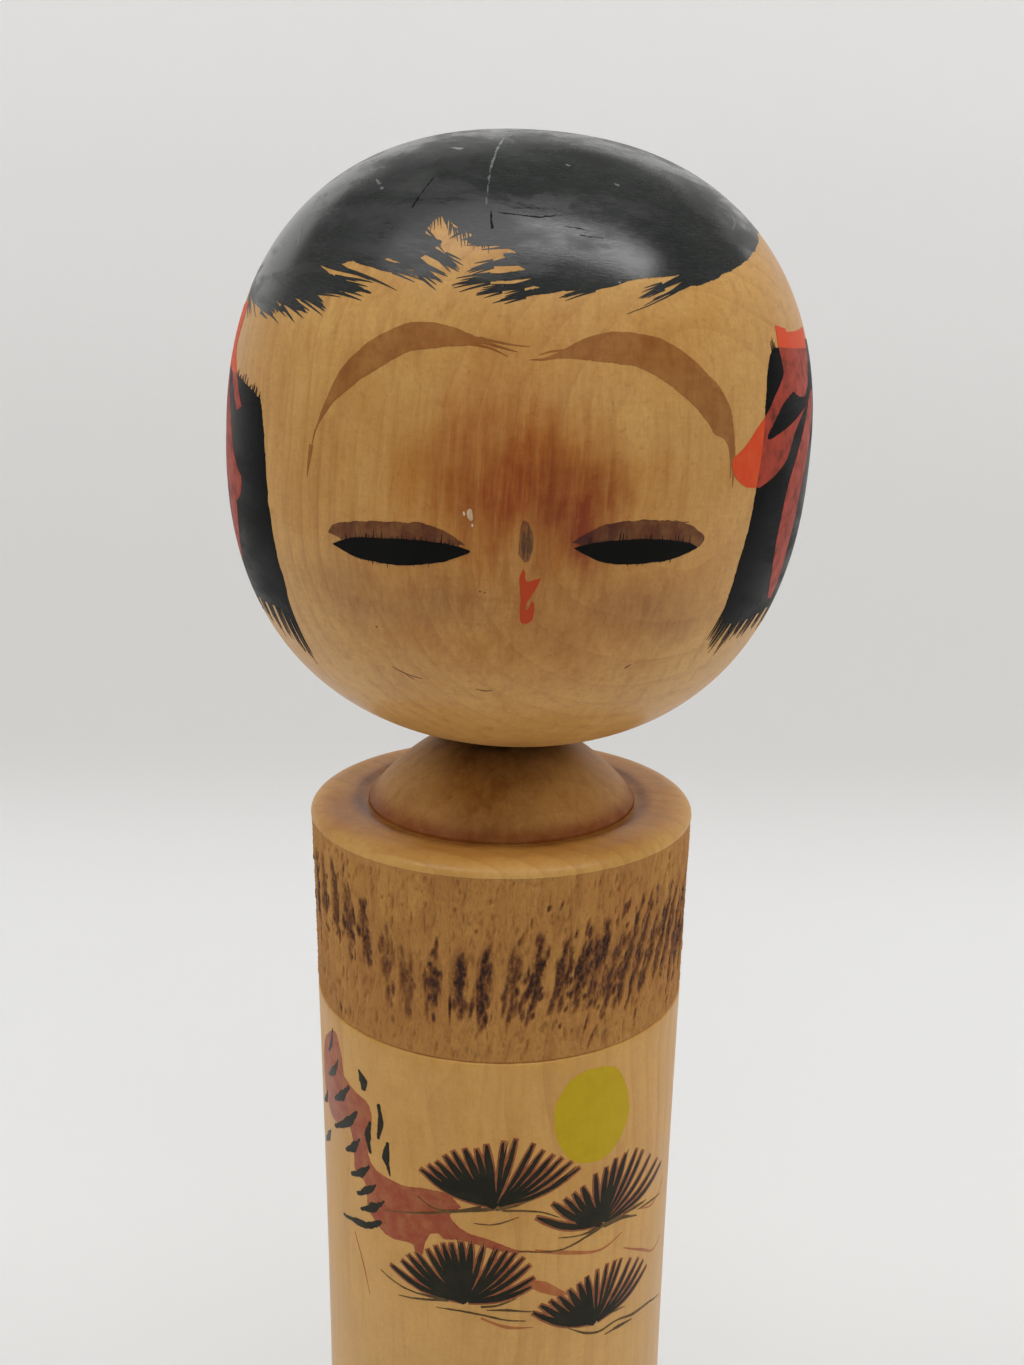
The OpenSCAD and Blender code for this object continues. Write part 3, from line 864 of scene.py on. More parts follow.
fringe = [
    # one line each: places from the root to the tip, and the widest width
    ([(-78, 21), (-74, 18.6), (-66, 16.2)], 1.0), ([(-74, 21), (-69, 18.8), (-62, 16.1)], 0.5),
    ([(-75, 20.4), (-68, 19), (-60, 17.6), (-54, 16.6)], 2.0), ([(-68, 20), (-61, 18.6), (-50, 17)], 2.2),
    ([(-66, 20), (-57, 18.4), (-52.5, 16.9)], 1.0), ([(-60, 20.4), (-52, 18.9), (-43, 17.1)], 2.4),
    ([(-56, 20), (-49, 18.6), (-45.6, 17.4)], 0.8), ([(-54, 20.6), (-46, 19.4), (-38.4, 17.8)], 1.6),
    ([(-50, 20.6), (-43, 20), (-35, 19.9)], 1.2), ([(-49, 20.4), (-42, 19.2), (-39.6, 18.6)], 0.6),
    ([(-47, 21.4), (-38, 20.8), (-29.2, 20.1)], 2.0), ([(-46, 22), (-39, 21.4), (-33, 20.9)], 1.2),
    ([(-46, 23.6), (-40, 22.9), (-33, 22.2), (-24.2, 20.6)], 0.8),
    ([(-42, 23.8), (-36, 22.6), (-30.5, 21.6)], 0.45),
    ([(-38, 24.6), (-32, 23.8), (-26, 23.2), (-18.8, 22.3)], 1.3),
    ([(-35, 24.4), (-29.6, 23.2), (-25, 22.6)], 0.7),
    ([(-33, 24.6), (-28.6, 23.8), (-23.6, 23.4)], 0.9),
    ([(-31, 25.6), (-25.8, 24.7), (-20.5, 23.2), (-15.6, 21.9)], 1.7),
    ([(-29, 25.4), (-24, 24), (-20.6, 22.6)], 0.6), ([(-26, 25.6), (-21, 24.2), (-18.4, 23.4)], 0.7),
    ([(-25, 26.6), (-20.3, 25.6), (-16.8, 24.8), (-13, 23.6)], 1.4),
    ([(-24, 26), (-19, 25), (-15.9, 24.1), (-13.2, 23.2)], 0.8),
    ([(-24, 27.6), (-19.6, 26.6), (-16.4, 25.2)], 0.4), ([(-23, 28.4), (-20, 27.2), (-17.6, 26)], 0.35),
    ([(-12, 28.6), (-15, 27.6), (-16.4, 27)], 0.4), ([(-8, 28.4), (-12, 27.3), (-14, 26.9)], 0.5),
    ([(-5, 27.4), (-9, 26.8), (-12.6, 26.3)], 0.5), ([(-1, 26.8), (-5, 26.4), (-9.8, 25.9)], 0.45),
    ([(1, 26.4), (-3, 25.2), (-7.1, 24.4), (-11.8, 23.3)], 1.1), ([(2, 25.6), (-2.6, 24.6), (-9, 24)], 0.6),
    ([(4, 24.8), (-0.6, 23.5), (-7.3, 22.7), (-14.2, 21.5)], 1.4),
    ([(3, 24.2), (-3, 23.3), (-8.4, 23.2)], 0.5),
    ([(5, 23.8), (-0.5, 22.4), (-5, 21.6), (-9.4, 20.9)], 1.0), ([(4, 23.2), (-2, 22.2), (-7.4, 22)], 0.5),
    ([(8, 23), (3, 21.9), (-0.9, 21.3), (-5.4, 20.2)], 1.2), ([(6, 22.6), (-0.4, 21.2), (-6.4, 19.9)], 0.7),
    ([(16, 23.8), (11.4, 22.5), (5, 21)], 1.0), ([(20, 24.4), (15, 23), (9.6, 22)], 0.6),
    ([(36, 25.6), (30.6, 24.6), (25, 23.2), (19.6, 21.6)], 1.0),
    ([(37, 25.2), (31, 24.2), (26.3, 22.6), (20.6, 20.8)], 0.5),
    ([(33, 24.2), (28, 22.9), (22.4, 21.6)], 0.5), ([(31, 24), (27.4, 22.6), (22, 21), (17.2, 19.7)], 0.22),
]
hair = [rough(CROWN.flat(hairline), 0.12, 5)]
for k, (places, width) in enumerate(fringe):
    line = stroke(CROWN, places, [width, width, width * 0.8, width * 0.5, 0.05])
    hair.append(rough(line, 0.09, 600 + k) if width > 1.1 else line)
    if width > 0.9:  # a thick stroke splits near its tip
        root, tip = places[-2], places[-1]
        hair += tuft(CROWN, root, tip, width * 0.9, 5, width * 1.3, 700 + k)
rng = random.Random(77)
for k in range(30):  # dry hairs that fray the upper edge of the bare notch
    along = k / 29
    a, h = -22.6 + 14 * along, 28.2 + 1.3 * math.sin(math.pi * min(along * 2.2, 1)) - 1.2 * along
    drop = rng.uniform(0.5, 1.5)
    hair.append(stroke(CROWN, [(a, h + 0.7), (a + rng.uniform(0.2, 1.6), h - drop)], [0.3, 0.2, 0.05]))
for k in range(46):  # the fringe round the sides and the back
    spot = 92 + k * 3.9 + 1.3 * math.sin(k * 2.1)
    high = float(np.interp(spot % 360, (72, 90, 115, 140, 180, 220, 262, 276),
                           (31, 31.5, 29, 26, 24, 25.5, 23, 20.5)))
    turn = ((spot + 180) % 360) - 180
    tip = (turn + 2.5 * math.sin(k * 1.7), high - 3.2 - 1.6 * math.sin(k * 2.9))
    hair += tuft(CROWN, (turn, high + 1.5), tip, 2.4, 4, 1.4, 300 + k, 0.3 * math.sin(k))
head_paint("hair_cap", hair, CROWN, [hair_ink], "hair_paint", grid=1.3)

hair_marks = [([(-14.4, 40.4), (-12.6, 36.4), (-10.8, 31.2)], [0.1, 0.3, 0.1]),
              ([(30, 40), (33, 39), (36, 38.4)], [0.05, 0.25, 0.05]),
              ([(-44, 34), (-41, 33.4)], [0.2, 0.5]), ([(-40, 33), (-38.6, 32.8)], [0.3, 0.3]),
              ([(-30, 38.6), (-25, 38.4)], [0.2, 0.9]),
              ([(52, 31), (56, 32), (59, 33.6)], [0.1, 0.5, 0.1]), ([(8, 37), (9, 36.9)], [0.3, 0.3]),
              ([(20, 35), (20.8, 34.9)], [0.25, 0.25]),
              ([(-60, 28), (-57, 26.4), (-55, 25)], [0.1, 0.6, 0.1]), ([(-66, 26), (-63, 25.4)], [0.1, 0.4])]
hair_details("hair_scuffs", hair_marks, 0.15, 40, scuff_ink)
hair_cracks = [([(-26.2, 34.4), (-27.2, 30.4)], [0.05, 0.2]), ([(-9.4, 30.6), (-8.4, 28.4)], [0.2, 0.35]),
               ([(-8, 30.4), (0, 30.2), (6, 30.6)], [0.05, 0.25, 0.05]), ([(6, 29.3), (11, 29)], [0.05, 0.2]),
               ([(9, 28.4), (14, 28.2)], [0.05, 0.18]), ([(-5, 31), (1, 31.2)], [0.05, 0.2])]
hair_details("hair_cracks", hair_cracks, 0.1, 50, crack_ink)

lock_right = outline([
    (52, 16.8), (50, 15.6), (48.5, 13.4), (47.7, 10), (47.2, 5), (46.5, 0), (45.7, -6), (45, -10),
    (44.6, -14), (44.8, -18),
], [
    (44.8, -18), (49, -19.6), (58, -19.4), (66, -19), (76, -18.8), (84, -17.6),
], [
    (84, -17.6), (89, -12.4), (92.4, -5), (93.4, 3), (91.6, 9.6), (87, 14.4), (81, 16.4),
], [
    (81, 16.4), (74, 16.8), (66, 16.7),
], steps=12)
lock_left = outline([
    (-82, 8.8), (-77, 8.8), (-73, 8.6), (-66, 8.3), (-60, 7.4), (-53.4, 6),
], [
    (-53.4, 6), (-52, 3.6), (-51, 0), (-50.3, -4), (-49.6, -9), (-48.8, -14), (-48.3, -18), (-48.8, -22),
], [
    (-48.8, -22), (-56, -22.2), (-66, -22.4), (-76, -22), (-83, -20.6),
], [
    (-83, -20.6), (-88.6, -15.6), (-92, -9), (-92.6, -2), (-90.4, 3.8), (-87, 7.2),
], steps=12)
right_ends = [rough(FACE.flat(lock_right), 0.12, 7)]
left_ends = [rough(FACE.flat(lock_left), 0.12, 8)]
for k, (root, tip, width, hairs, fan) in enumerate([
    ((46.5, -16), (43.6, -22.6), 1.8, 4, 1.0), ((49, -17), (44.6, -24.2), 1.8, 4, 1.0),
    ((52, -17), (48.6, -24.6), 1.8, 4, 1.0), ((55.5, -17), (51.6, -22.4), 2.2, 5, 1.2),
    ((60, -17), (56, -22.6), 2.4, 5, 1.4), ((65, -17), (61.5, -22), 2.4, 5, 1.4),
    ((71, -17), (68, -22.2), 2.6, 5, 1.6), ((77, -17), (74.5, -22.6), 2.6, 5, 1.6),
    ((82, -16.4), (80.6, -23), 2.8, 6, 1.8),
    ((86, -13.4), (85.6, -21.4), 2.4, 5, 1.6), ((89.4, -8), (89.8, -17), 1.8, 4, 1.4),
    ((91.6, -2), (92.4, -10.6), 1.2, 3, 1.0),
    ((52, 15), (51.6, 17.8), 1.2, 3, 0.8), ((56, 15.4), (56, 17.3), 2.4, 5, 2.0),
    ((76, 15.2), (76.6, 17.9), 4, 7, 4),
    ((84, 13.8), (86, 16.9), 3.6, 7, 3.4),
]):
    right_ends += tuft(FACE, root, tip, width, hairs + 2, fan * 1.3, 400 + k)
for k, (root, tip, width, hairs, fan) in enumerate([
    ((-50, -19), (-49.2, -29.6), 1.7, 4, 0.9), ((-52.4, -19.6), (-52, -28.8), 1.7, 4, 1.0),
    ((-55, -20), (-55.4, -27.4), 1.8, 4, 1.0), ((-59, -20), (-59.6, -26.4), 2.2, 5, 1.2),
    ((-64, -20.4), (-64.6, -25.6), 2.4, 5, 1.4), ((-70, -20.4), (-70.4, -25.4), 2.8, 6, 1.6),
    ((-77, -20), (-77.4, -25), 3.0, 6, 1.8), ((-82.6, -18.6), (-83, -25.6), 2.6, 6, 1.6),
    ((-87, -15.4), (-87.8, -23.6), 2.2, 5, 1.4), ((-90.2, -10.4), (-91, -18.4), 1.6, 4, 1.2),
    ((-56, 5.6), (-54.8, 7.5), 2.2, 6, 2.4), ((-61, 6.4), (-60, 8.4), 2.4, 6, 2.6),
    ((-66, 7), (-65.6, 9), 2.4, 5, 2.6),
    ((-75, 7), (-75, 9.6), 4, 7, 4), ((-82.4, 6.6), (-84, 9.8), 3.6, 7, 3.4),
]):
    left_ends += tuft(FACE, root, tip, width, hairs + 2, fan * 1.3, 440 + k)
head_paint("lock_right", right_ends, FACE, [lock_ink], "hair_paint", grid=1.2)
head_paint("lock_left", left_ends, FACE, [lock_ink], "hair_paint", grid=1.2)

# ---------------------------------------------------------------- ribbons

flag = outline([(54, 19.5), (58.4, 19.2), (59.2, 18.8), (66, 19), (73.5, 19.5)],
               [(73.5, 19.5), (72, 16.8), (70, 14), (68.5, 12)],
               [(68.5, 12), (65.5, 10.7), (62, 10.6), (58.5, 11.3)],
               [(58.5, 11.3), (54, 9.8), (51.5, 8.2), (48.6, 6)],
               [(48.6, 6), (47.2, 5.2), (44.6, 5.9)],
               [(44.6, 5.9), (48, 8.6), (52.8, 12), (54.6, 13.5), (54.4, 15), (53.8, 17)])
blob = outline([(47.6, 8.2), (44, 5.9), (41.6, 4.2), (39.3, 3.2)],
               [(39.3, 3.2), (39.2, 2), (40.4, 0.6), (43.4, -0.6), (47.4, -0.8)],
               [(47.4, -0.8), (52.4, 0.7), (56.8, 2.8), (59.6, 6), (63, 8), (68, 10.2)],
               [(68, 10.2), (65, 9), (58, 7.2), (50, 5.4)],
               [(50, 5.4), (48.6, 5.4), (48.4, 6.6)])
stripe = outline([(69.5, 10.6), (65, 6.4), (61, 2.2), (58.8, -0.8), (57.4, -4.8), (57.6, -9.4),
                  (59.6, -13.6), (62.6, -17.2)],
                 [(62.6, -17.2), (66, -17.6)],
                 [(66, -17.6), (66.2, -14.2), (65.4, -9.8), (66.6, -4), (69, 1), (72, 6), (74, 11)])


def mirrored(shape, shift):
    """The same ribbon on the other side of the head, moved round to where that lock is."""
    return np.stack([-shape[:, 0] - shift, shape[:, 1]], -1)[::-1]


def ribbon(name, shapes, lock, seed):
    shapes = [rough(FACE.flat(s), 0.07, seed + i, 2.0) for i, s in enumerate(shapes)]
    head_paint(name, shapes, FACE, [red_dye, red_on_black], "red_paint", lift=0.05, sink=-0.005,
               over=FACE.flat(lock))


ribbon("ribbon_right", [flag, blob, stripe], lock_right, 20)
low = np.array([[0, -8.0]])
ribbon("ribbon_left", [mirrored(flag, 17) + [[0, -1.5]], mirrored(blob, 22) + low, mirrored(stripe, 8)],
       lock_left, 30)

# ---------------------------------------------------------------- face


def face(name, shapes, material, slot, seed, amount=0.05, **options):
    """Paint on the face from outlines in places, with wandering edges."""
    shapes = [rough(FACE.flat(s), amount, seed + i) for i, s in enumerate(shapes)]
    head_paint(name, shapes, FACE, [material], slot, grid=0.9, **options)


def face_strokes(name, strokes, material, slot, **options):
    """Paint on the face from strokes, each a line of places and its widths."""
    shapes = [stroke(FACE, places, widths) for places, widths in strokes]
    head_paint(name, shapes, FACE, [material], slot, grid=0.9, **options)


brow_left = outline([(-38.2, -0.6), (-37.2, 3), (-34.8, 7.6), (-32.4, 11), (-29, 13.6), (-25, 15.6),
                     (-21, 16.9), (-17, 17.2), (-13, 16.9), (-9.4, 16.2), (-6.2, 15.4)],
                    [(-6.2, 15.4), (-9.2, 15), (-13, 14.6), (-17, 14.2), (-20, 13.6), (-23.4, 12.3),
                     (-26.6, 10.8), (-30, 9), (-33.2, 7), (-35.8, 4.6), (-37.4, 2)])
brow_right = outline([(3, 14), (6.2, 15.3), (9.8, 16.7), (14, 17.5), (19, 17.6), (23.4, 17.1), (27.6, 15.8),
                      (32, 13.8), (35.8, 11.4), (38, 9), (39.2, 5.6), (39.4, 3)],
                     [(39.4, 3), (38.4, 4), (36.6, 5.6), (34.6, 6.2), (32.4, 7.8), (29.2, 9.8),
                      (25.6, 11.5), (22.4, 12.8), (18.8, 13.7), (14, 14), (9.8, 14.2), (6.4, 14.2)])
face("brow_left", [brow_left], brow_wash, "brow_paint", 50, 0.08)
face("brow_right", [brow_right], brow_wash, "brow_paint", 52, 0.08)

for name, lines in (
    ("brow_left_hairs", [([(-10, 15.9), (-5, 15.1), (-1.5, 14.6)], [0.5, 0.3, 0.05]),
                         ([(-10, 15.2), (-6, 14.8), (-3, 14)], [0.4, 0.2, 0.05]),
                         ([(-8, 15.9), (-3, 15.4), (0.5, 15.3)], [0.3, 0.2, 0.05]),
                         ([(-37.8, 1.4), (-38.3, -1), (-38.6, -2.6)], [0.7, 0.4, 0.05])]),
    ("brow_right_hairs", [([(6.5, 14.8), (3, 14), (0.6, 13.8)], [0.5, 0.3, 0.05]),
                          ([(7, 15.2), (4, 14.9), (2, 14.4)], [0.3, 0.2, 0.05]),
                          ([(38.9, 4.6), (39.6, 1.4), (39.7, -0.6)], [0.9, 0.4, 0.05]),
                          ([(38, 5), (38.8, 2.4), (38.9, 0.6)], [0.4, 0.25, 0.05])]),
):
    face_strokes(name, lines, brow_wash, "brow_paint", lift=0.036)

eye_left = outline([(-33, -10.6), (-30.2, -9.7), (-27.4, -9.2), (-21, -8.7), (-15.8, -8.5), (-11.5, -8.6),
                    (-9, -8.8), (-7, -9.3)],
                   [(-7, -9.3), (-9.6, -10.3), (-13.2, -11.2), (-18.4, -11.9), (-23.2, -12.1),
                    (-27.8, -11.8), (-30.8, -11.2)])
eye_right = outline([(10, -8.1), (12.6, -7.5), (15.6, -7.1), (22.2, -6.8), (28.2, -7), (31.4, -7.4),
                     (33.5, -8)],
                    [(33.5, -8), (30.8, -8.8), (26.9, -9.6), (20.7, -10), (15.6, -9.8), (12.4, -9)])
lid_left = outline([(-33.8, -9.2), (-32.4, -8), (-29, -7.3), (-22, -6.7), (-16, -6.4), (-11.6, -7.1),
                    (-8, -8.6)],
                   [(-8, -8.6), (-11.5, -8.8), (-16, -8.8), (-21, -9), (-27, -9.4), (-30.4, -9.8)])
lid_right = outline([(9.6, -7.4), (12.4, -5.9), (16, -4.8), (22, -4.4), (27.8, -4.6), (32, -5.4),
                     (34.4, -6.8), (33.6, -7.9)],
                    [(33.6, -7.9), (31.4, -7.6), (28, -7.2), (22, -7), (15.6, -7.3), (12.4, -7.7)])


def lashes(edge, count, low, high, seed):
    """Fine bristle marks that stand out of an eye's edge, upwards or downwards."""
    rng = random.Random(seed)
    shapes = []
    for i in range(count):
        a = edge[0][0] + (edge[-1][0] - edge[0][0]) * (i + rng.random()) / count
        h = float(np.interp(a, [p[0] for p in edge], [p[1] for p in edge]))
        reach = low + (high - low) * rng.random() ** 2.5
        root, tip = (a, h - 0.3 * math.copysign(1, high)), (a + rng.uniform(-0.1, 0.1), h + reach)
        shapes.append(stroke(FACE, [root, tip], [rng.uniform(0.08, 0.24), 0.03], 3))
    return shapes


face("lid_left", [lid_left], lid_wash, "brow_paint", 54, 0.12)
face("lid_right", [lid_right], lid_wash, "brow_paint", 56, 0.12)
for name, shape, top, bottom, seed in (
    ("eye_left", eye_left, [(-31, -10), (-27, -9.2), (-21, -8.7), (-12, -8.6), (-9, -8.8)],
     [(-28, -11.8), (-23, -12.1), (-18.4, -11.9), (-13, -11.2)], 60),
    ("eye_right", eye_right, [(12, -7.7), (15.6, -7.1), (22.2, -6.8), (28.2, -7), (32, -7.6)],
     [(13, -9), (20.7, -10), (26.9, -9.6), (30, -9)], 62),
):
    shapes = [rough(FACE.flat(shape), 0.06, seed)]
    shapes += lashes(top, 60, 0.1, 1.3, seed) + lashes(bottom, 24, -0.05, -0.5, seed + 1)
    head_paint(name, shapes, FACE, [eye_ink], "face_paint", lift=0.045, sink=-0.005, grid=0.8)

nose = outline([(1.2, -5.0), (2.0, -5.2), (2.9, -6.6), (3.2, -8.4), (2.8, -10)],
               [(2.8, -10), (1.9, -10.2), (1.0, -9.2), (0.8, -7.4), (0.9, -6)])
mouth_top = outline([(1.8, -11), (1.3, -12.1), (1.4, -13.2), (1.6, -14.3), (1.9, -15.4)],
                    [(1.9, -15.4), (2.6, -15.5), (3.4, -14.8), (4.3, -13.4)],
                    [(4.3, -13.4), (5, -12)],
                    [(5, -12), (3.6, -12.4), (2.7, -12.7)],
                    [(2.7, -12.7), (2.3, -12.2), (2.2, -11.4)])
mouth_low = outline([(1.8, -15.2), (1.8, -16.6), (2, -17.8), (2.6, -18.2), (3.4, -18.1), (4.1, -17.6),
                     (4.3, -16.4), (4.2, -15.4)],
                    [(4.2, -15.4), (3.8, -15.1), (3.5, -15.6), (3.1, -16.3), (2.7, -16.2)],
                    [(2.7, -16.2), (2.9, -15.6), (2.8, -15.2)])
face("nose", [nose], nose_wash, "brow_paint", 64, 0.1)
nose_lines = [([(1.5, -6.2), (1.6, -7.6), (1.7, -9.7)], [0.1, 0.75, 0.2]),
              ([(2.2, -5.6), (2.3, -7.4), (2.4, -9.8)], [0.08, 0.5, 0.1]),
              ([(2.8, -7), (2.8, -8.2), (2.7, -9.3)], [0.05, 0.25, 0.05])]
face_strokes("nose_lines", nose_lines, nose_core, "brow_paint", lift=0.045, sink=-0.005)
face("mouth", [mouth_top, mouth_low], lip_dye, "red_paint", 66, 0.03)
face("chip", [outline([(-8, -4.3), (-7.5, -4.0), (-7.1, -4.5), (-7.0, -5.2), (-7.4, -5.6), (-7.9, -5)]),
              outline([(-8.7, -4.6), (-8.5, -4.4), (-8.3, -4.8), (-8.5, -5)]),
              outline([(-7.2, -5.9), (-7, -5.8), (-6.9, -6.1), (-7.1, -6.2)])],
     pale_chip, "head_wood", 70, 0.06)
scratches = [([(27.6, -4.4), (29, -4.7), (30.8, -4.7)], [0.04, 0.16, 0.04]),
             ([(-24, -26.6), (-21, -27.4), (-17.6, -27.8)], [0.05, 0.18, 0.05]),
             ([(-21, -27.6), (-19.4, -28.1)], [0.05, 0.14, 0.05]),
             ([(-6, -28.4), (-4, -28.6), (-2.4, -28.4)], [0.04, 0.14, 0.04]),
             ([(-5.4, -14.3), (-5.1, -14.3)], [0.2, 0.2]), ([(-4.6, -14.4), (-4.3, -14.4)], [0.16, 0.16]),
             ([(-25.6, -20.9), (-25.2, -20.9)], [0.2, 0.2]),
             ([(24.4, -24.6), (25.6, -24)], [0.08, 0.2, 0.05])]
face_strokes("scratches", scratches, scratch_tone, "head_wood")

# ---------------------------------------------------------------- body painting


def body_paint(name, shapes, materials, slot, **options):
    paint(name, shapes, BARREL, on_body, "body", BODY_PLACE, materials, slot, **options)


def body_strokes(name, strokes, amount, seed, material, slot, **options):
    """Strokes on the body, each a line of places and its widths, with wandering edges."""
    shapes = [rough(stroke(BARREL, p, w), amount, seed + k) for k, (p, w) in enumerate(strokes)]
    body_paint(name, shapes, [material], slot, **options)


sun = outline([(32.8, 171.2), (37, 170.2), (40.4, 167.6), (43, 163.8), (43.2, 160.8), (39.6, 157.4),
               (35, 155.6), (29, 155.4),
               (23, 156.6), (19, 159.4), (17, 163), (17.4, 166.8), (21.4, 170), (27, 171.4)])
body_paint("sun", [rough(BARREL.flat(sun), 0.1, 80, 2.0)], [sun_dye], "sun_paint")

trunk = outline([(-62, 170.4), (-58, 170.8), (-55.4, 168), (-54, 164.4)],
                [(-54, 164.4), (-48, 163.2), (-42, 162.6), (-40.4, 160), (-42, 156), (-41.6, 152.6),
                 (-37, 151.4), (-29, 151), (-21, 151.6), (-14.4, 151.4), (-10, 149.6)],
                [(-10, 149.6), (-13.4, 148), (-11.4, 146.4), (-8, 145.3), (-3.6, 144.5), (1, 143.7),
                 (6, 142.6), (12, 141.9)],
                [(12, 141.9), (4, 142), (-4.4, 143.2), (-11, 143.8), (-15, 143.5), (-17, 144.3),
                 (-19.6, 143.9)],
                [(-19.6, 143.9), (-21.4, 142), (-22.4, 139.6), (-24.6, 139.5), (-25.4, 141), (-29, 141),
                 (-33.4, 140.8), (-37.4, 141.4), (-43, 143.6)],
                [(-43, 143.6), (-44, 148), (-49, 149.4), (-49.6, 154), (-53, 156.6), (-60, 154.6),
                 (-66, 155), (-70.6, 158), (-72, 162), (-69, 167)])
body_paint("trunk_wash", [rough(BARREL.flat(trunk), 0.1, 82, 2.0)], [trunk_dye], "bark_paint", lift=0.02)

thin_arcs = [
    ([(12, 142), (22, 140.6), (34, 139), (43, 140.2)], [0.5, 0.7, 0.4, 0.1]),
    ([(10, 136.4), (15, 135.2), (20, 133.6), (23, 133)], [1.2, 2.0, 1.2, 0.2]),
    ([(52, 142), (60, 140.6), (69, 142.6)], [0.2, 0.35, 0.1]),
    ([(44, 137), (54, 133.8), (62, 131.2), (70, 131.4)], [0.2, 0.5, 0.3, 0.1]),
    ([(-4, 130.2), (4, 128.6), (12, 128.2)], [0.3, 0.6, 0.1]),
    ([(-50, 137.6), (-46, 133), (-43, 128)], [0.2, 0.35, 0.1]),
]
body_paint("branch_wash", [stroke(BARREL, p, w) for p, w in thin_arcs], [branch_dye], "bark_paint",
           lift=0.024)

twigs = [
    ([(-36, 145.2), (-24, 147), (-12, 148.7), (0, 149.8)], [0.1, 0.3, 0.4, 0.7]),
    ([(-24, 150), (-18, 148.6), (-11, 149), (-4, 149.9)], [0.1, 0.2, 0.3, 0.6]),
    ([(0, 149.6), (6, 150.2), (12.4, 151.4)], [0.6, 0.4, 0.1]),
    ([(2, 149.4), (8, 149.2), (14, 148.6), (20, 147)], [0.4, 0.3, 0.2, 0.1]),
    ([(-6.4, 147), (0, 147), (7.2, 148.2)], [0.1, 0.3, 0.1]),
    ([(35, 143.4), (28, 142.3), (21, 141.4), (14, 141.6), (7, 142.2)], [0.7, 0.35, 0.3, 0.2, 0.1]),
    ([(19, 143.6), (27, 143), (33, 143.4)], [0.1, 0.25, 0.6]),
    ([(35, 143.2), (42, 143), (50, 141.4)], [0.9, 0.8, 0.2]),
    ([(43, 143.4), (49, 143.2), (55, 142.8)], [0.3, 0.6, 0.1]),
    ([(50, 142.4), (58, 141.6), (66, 140.6)], [0.1, 0.35, 0.1]),
    ([(-38, 134), (-32, 133), (-24, 132.6), (-14, 133)], [0.1, 0.25, 0.3, 0.6]),
    ([(-31, 130.9), (-24, 131.6), (-14, 132.8)], [0.1, 0.3, 0.5]),
    ([(-18, 131), (-11, 131.2), (-4, 130.8), (4, 129.9), (10, 129.5)], [0.1, 0.35, 0.3, 0.3, 0.1]),
    ([(-2.5, 131.7), (4, 131.7), (11.5, 131.1)], [0.1, 0.5, 0.1]),
    ([(-4, 132.2), (1, 132.6), (7, 133.8)], [0.4, 0.3, 0.1]),
    ([(23, 126.8), (29, 124.8), (35, 123.8), (42, 124), (50, 122.8), (60, 121.6), (72, 119)],
     [0.1, 0.4, 0.3, 0.3, 0.5, 0.4, 0.1]),
    ([(37, 122.6), (43, 122.6), (50, 122)], [0.1, 0.7, 0.2]),
    ([(30, 128), (38, 126.4), (46, 125.6)], [0.4, 0.4, 0.1]),
]
body_strokes("twigs", twigs, 0.05, 800, twig_ink, "pine_paint", lift=0.045, sink=-0.01)

fans = {
    "pine_upper_left": ((0, 150), [(-22.5, 154.8), (-20, 155.8), (-17.5, 156.7), (-15, 158), (-12.5, 159),
                                   (-9, 159.6),
                        (-5.6, 159.8), (-2.8, 160.6), (2.2, 161.2), (5.7, 161.5), (10.8, 160.5),
                        (13.7, 159.2), (16.8, 158.2), (19.5, 157.4), (22.6, 156.4), (25.2, 155)]),
    "pine_upper_right": ((34, 143.6), [(12.4, 147.8), (17.2, 149.8), (21, 150.2), (23.8, 150.8),
                                       (26.7, 151.5), (31, 153),
                         (35, 153.4), (38.7, 154.2), (42.8, 154.2), (48, 153.8), (51.5, 152.6), (56, 150.6),
                         (61, 148.4), (65, 146.5)]),
    "pine_lower_left": ((-8.6, 132.8), [(-33.6, 135.8), (-29.4, 137.5), (-27, 139), (-24.4, 139.9),
                                        (-20.6, 141), (-18, 142), (-15.6, 142.7),
                        (-13, 143), (-10, 143.5), (-7, 143.5), (-3.3, 143.2), (0.8, 142.7), (3.7, 142.4),
                        (6.3, 142), (8.5, 140.9), (10.5, 139.5), (11.8, 137.2), (11.2, 135.6)]),
    "pine_lower_right": ((33, 125.8), [(12, 130.8), (14.2, 132), (17.3, 132.5), (20, 133), (23.3, 133.7),
                                       (26.6, 134.3),
                         (29.4, 135), (33.2, 135.5), (37, 135.7), (40.2, 135.5), (43, 135.2), (47.6, 134),
                         (51.8, 132.8), (55, 131.4), (57.4, 129.6)]),
}


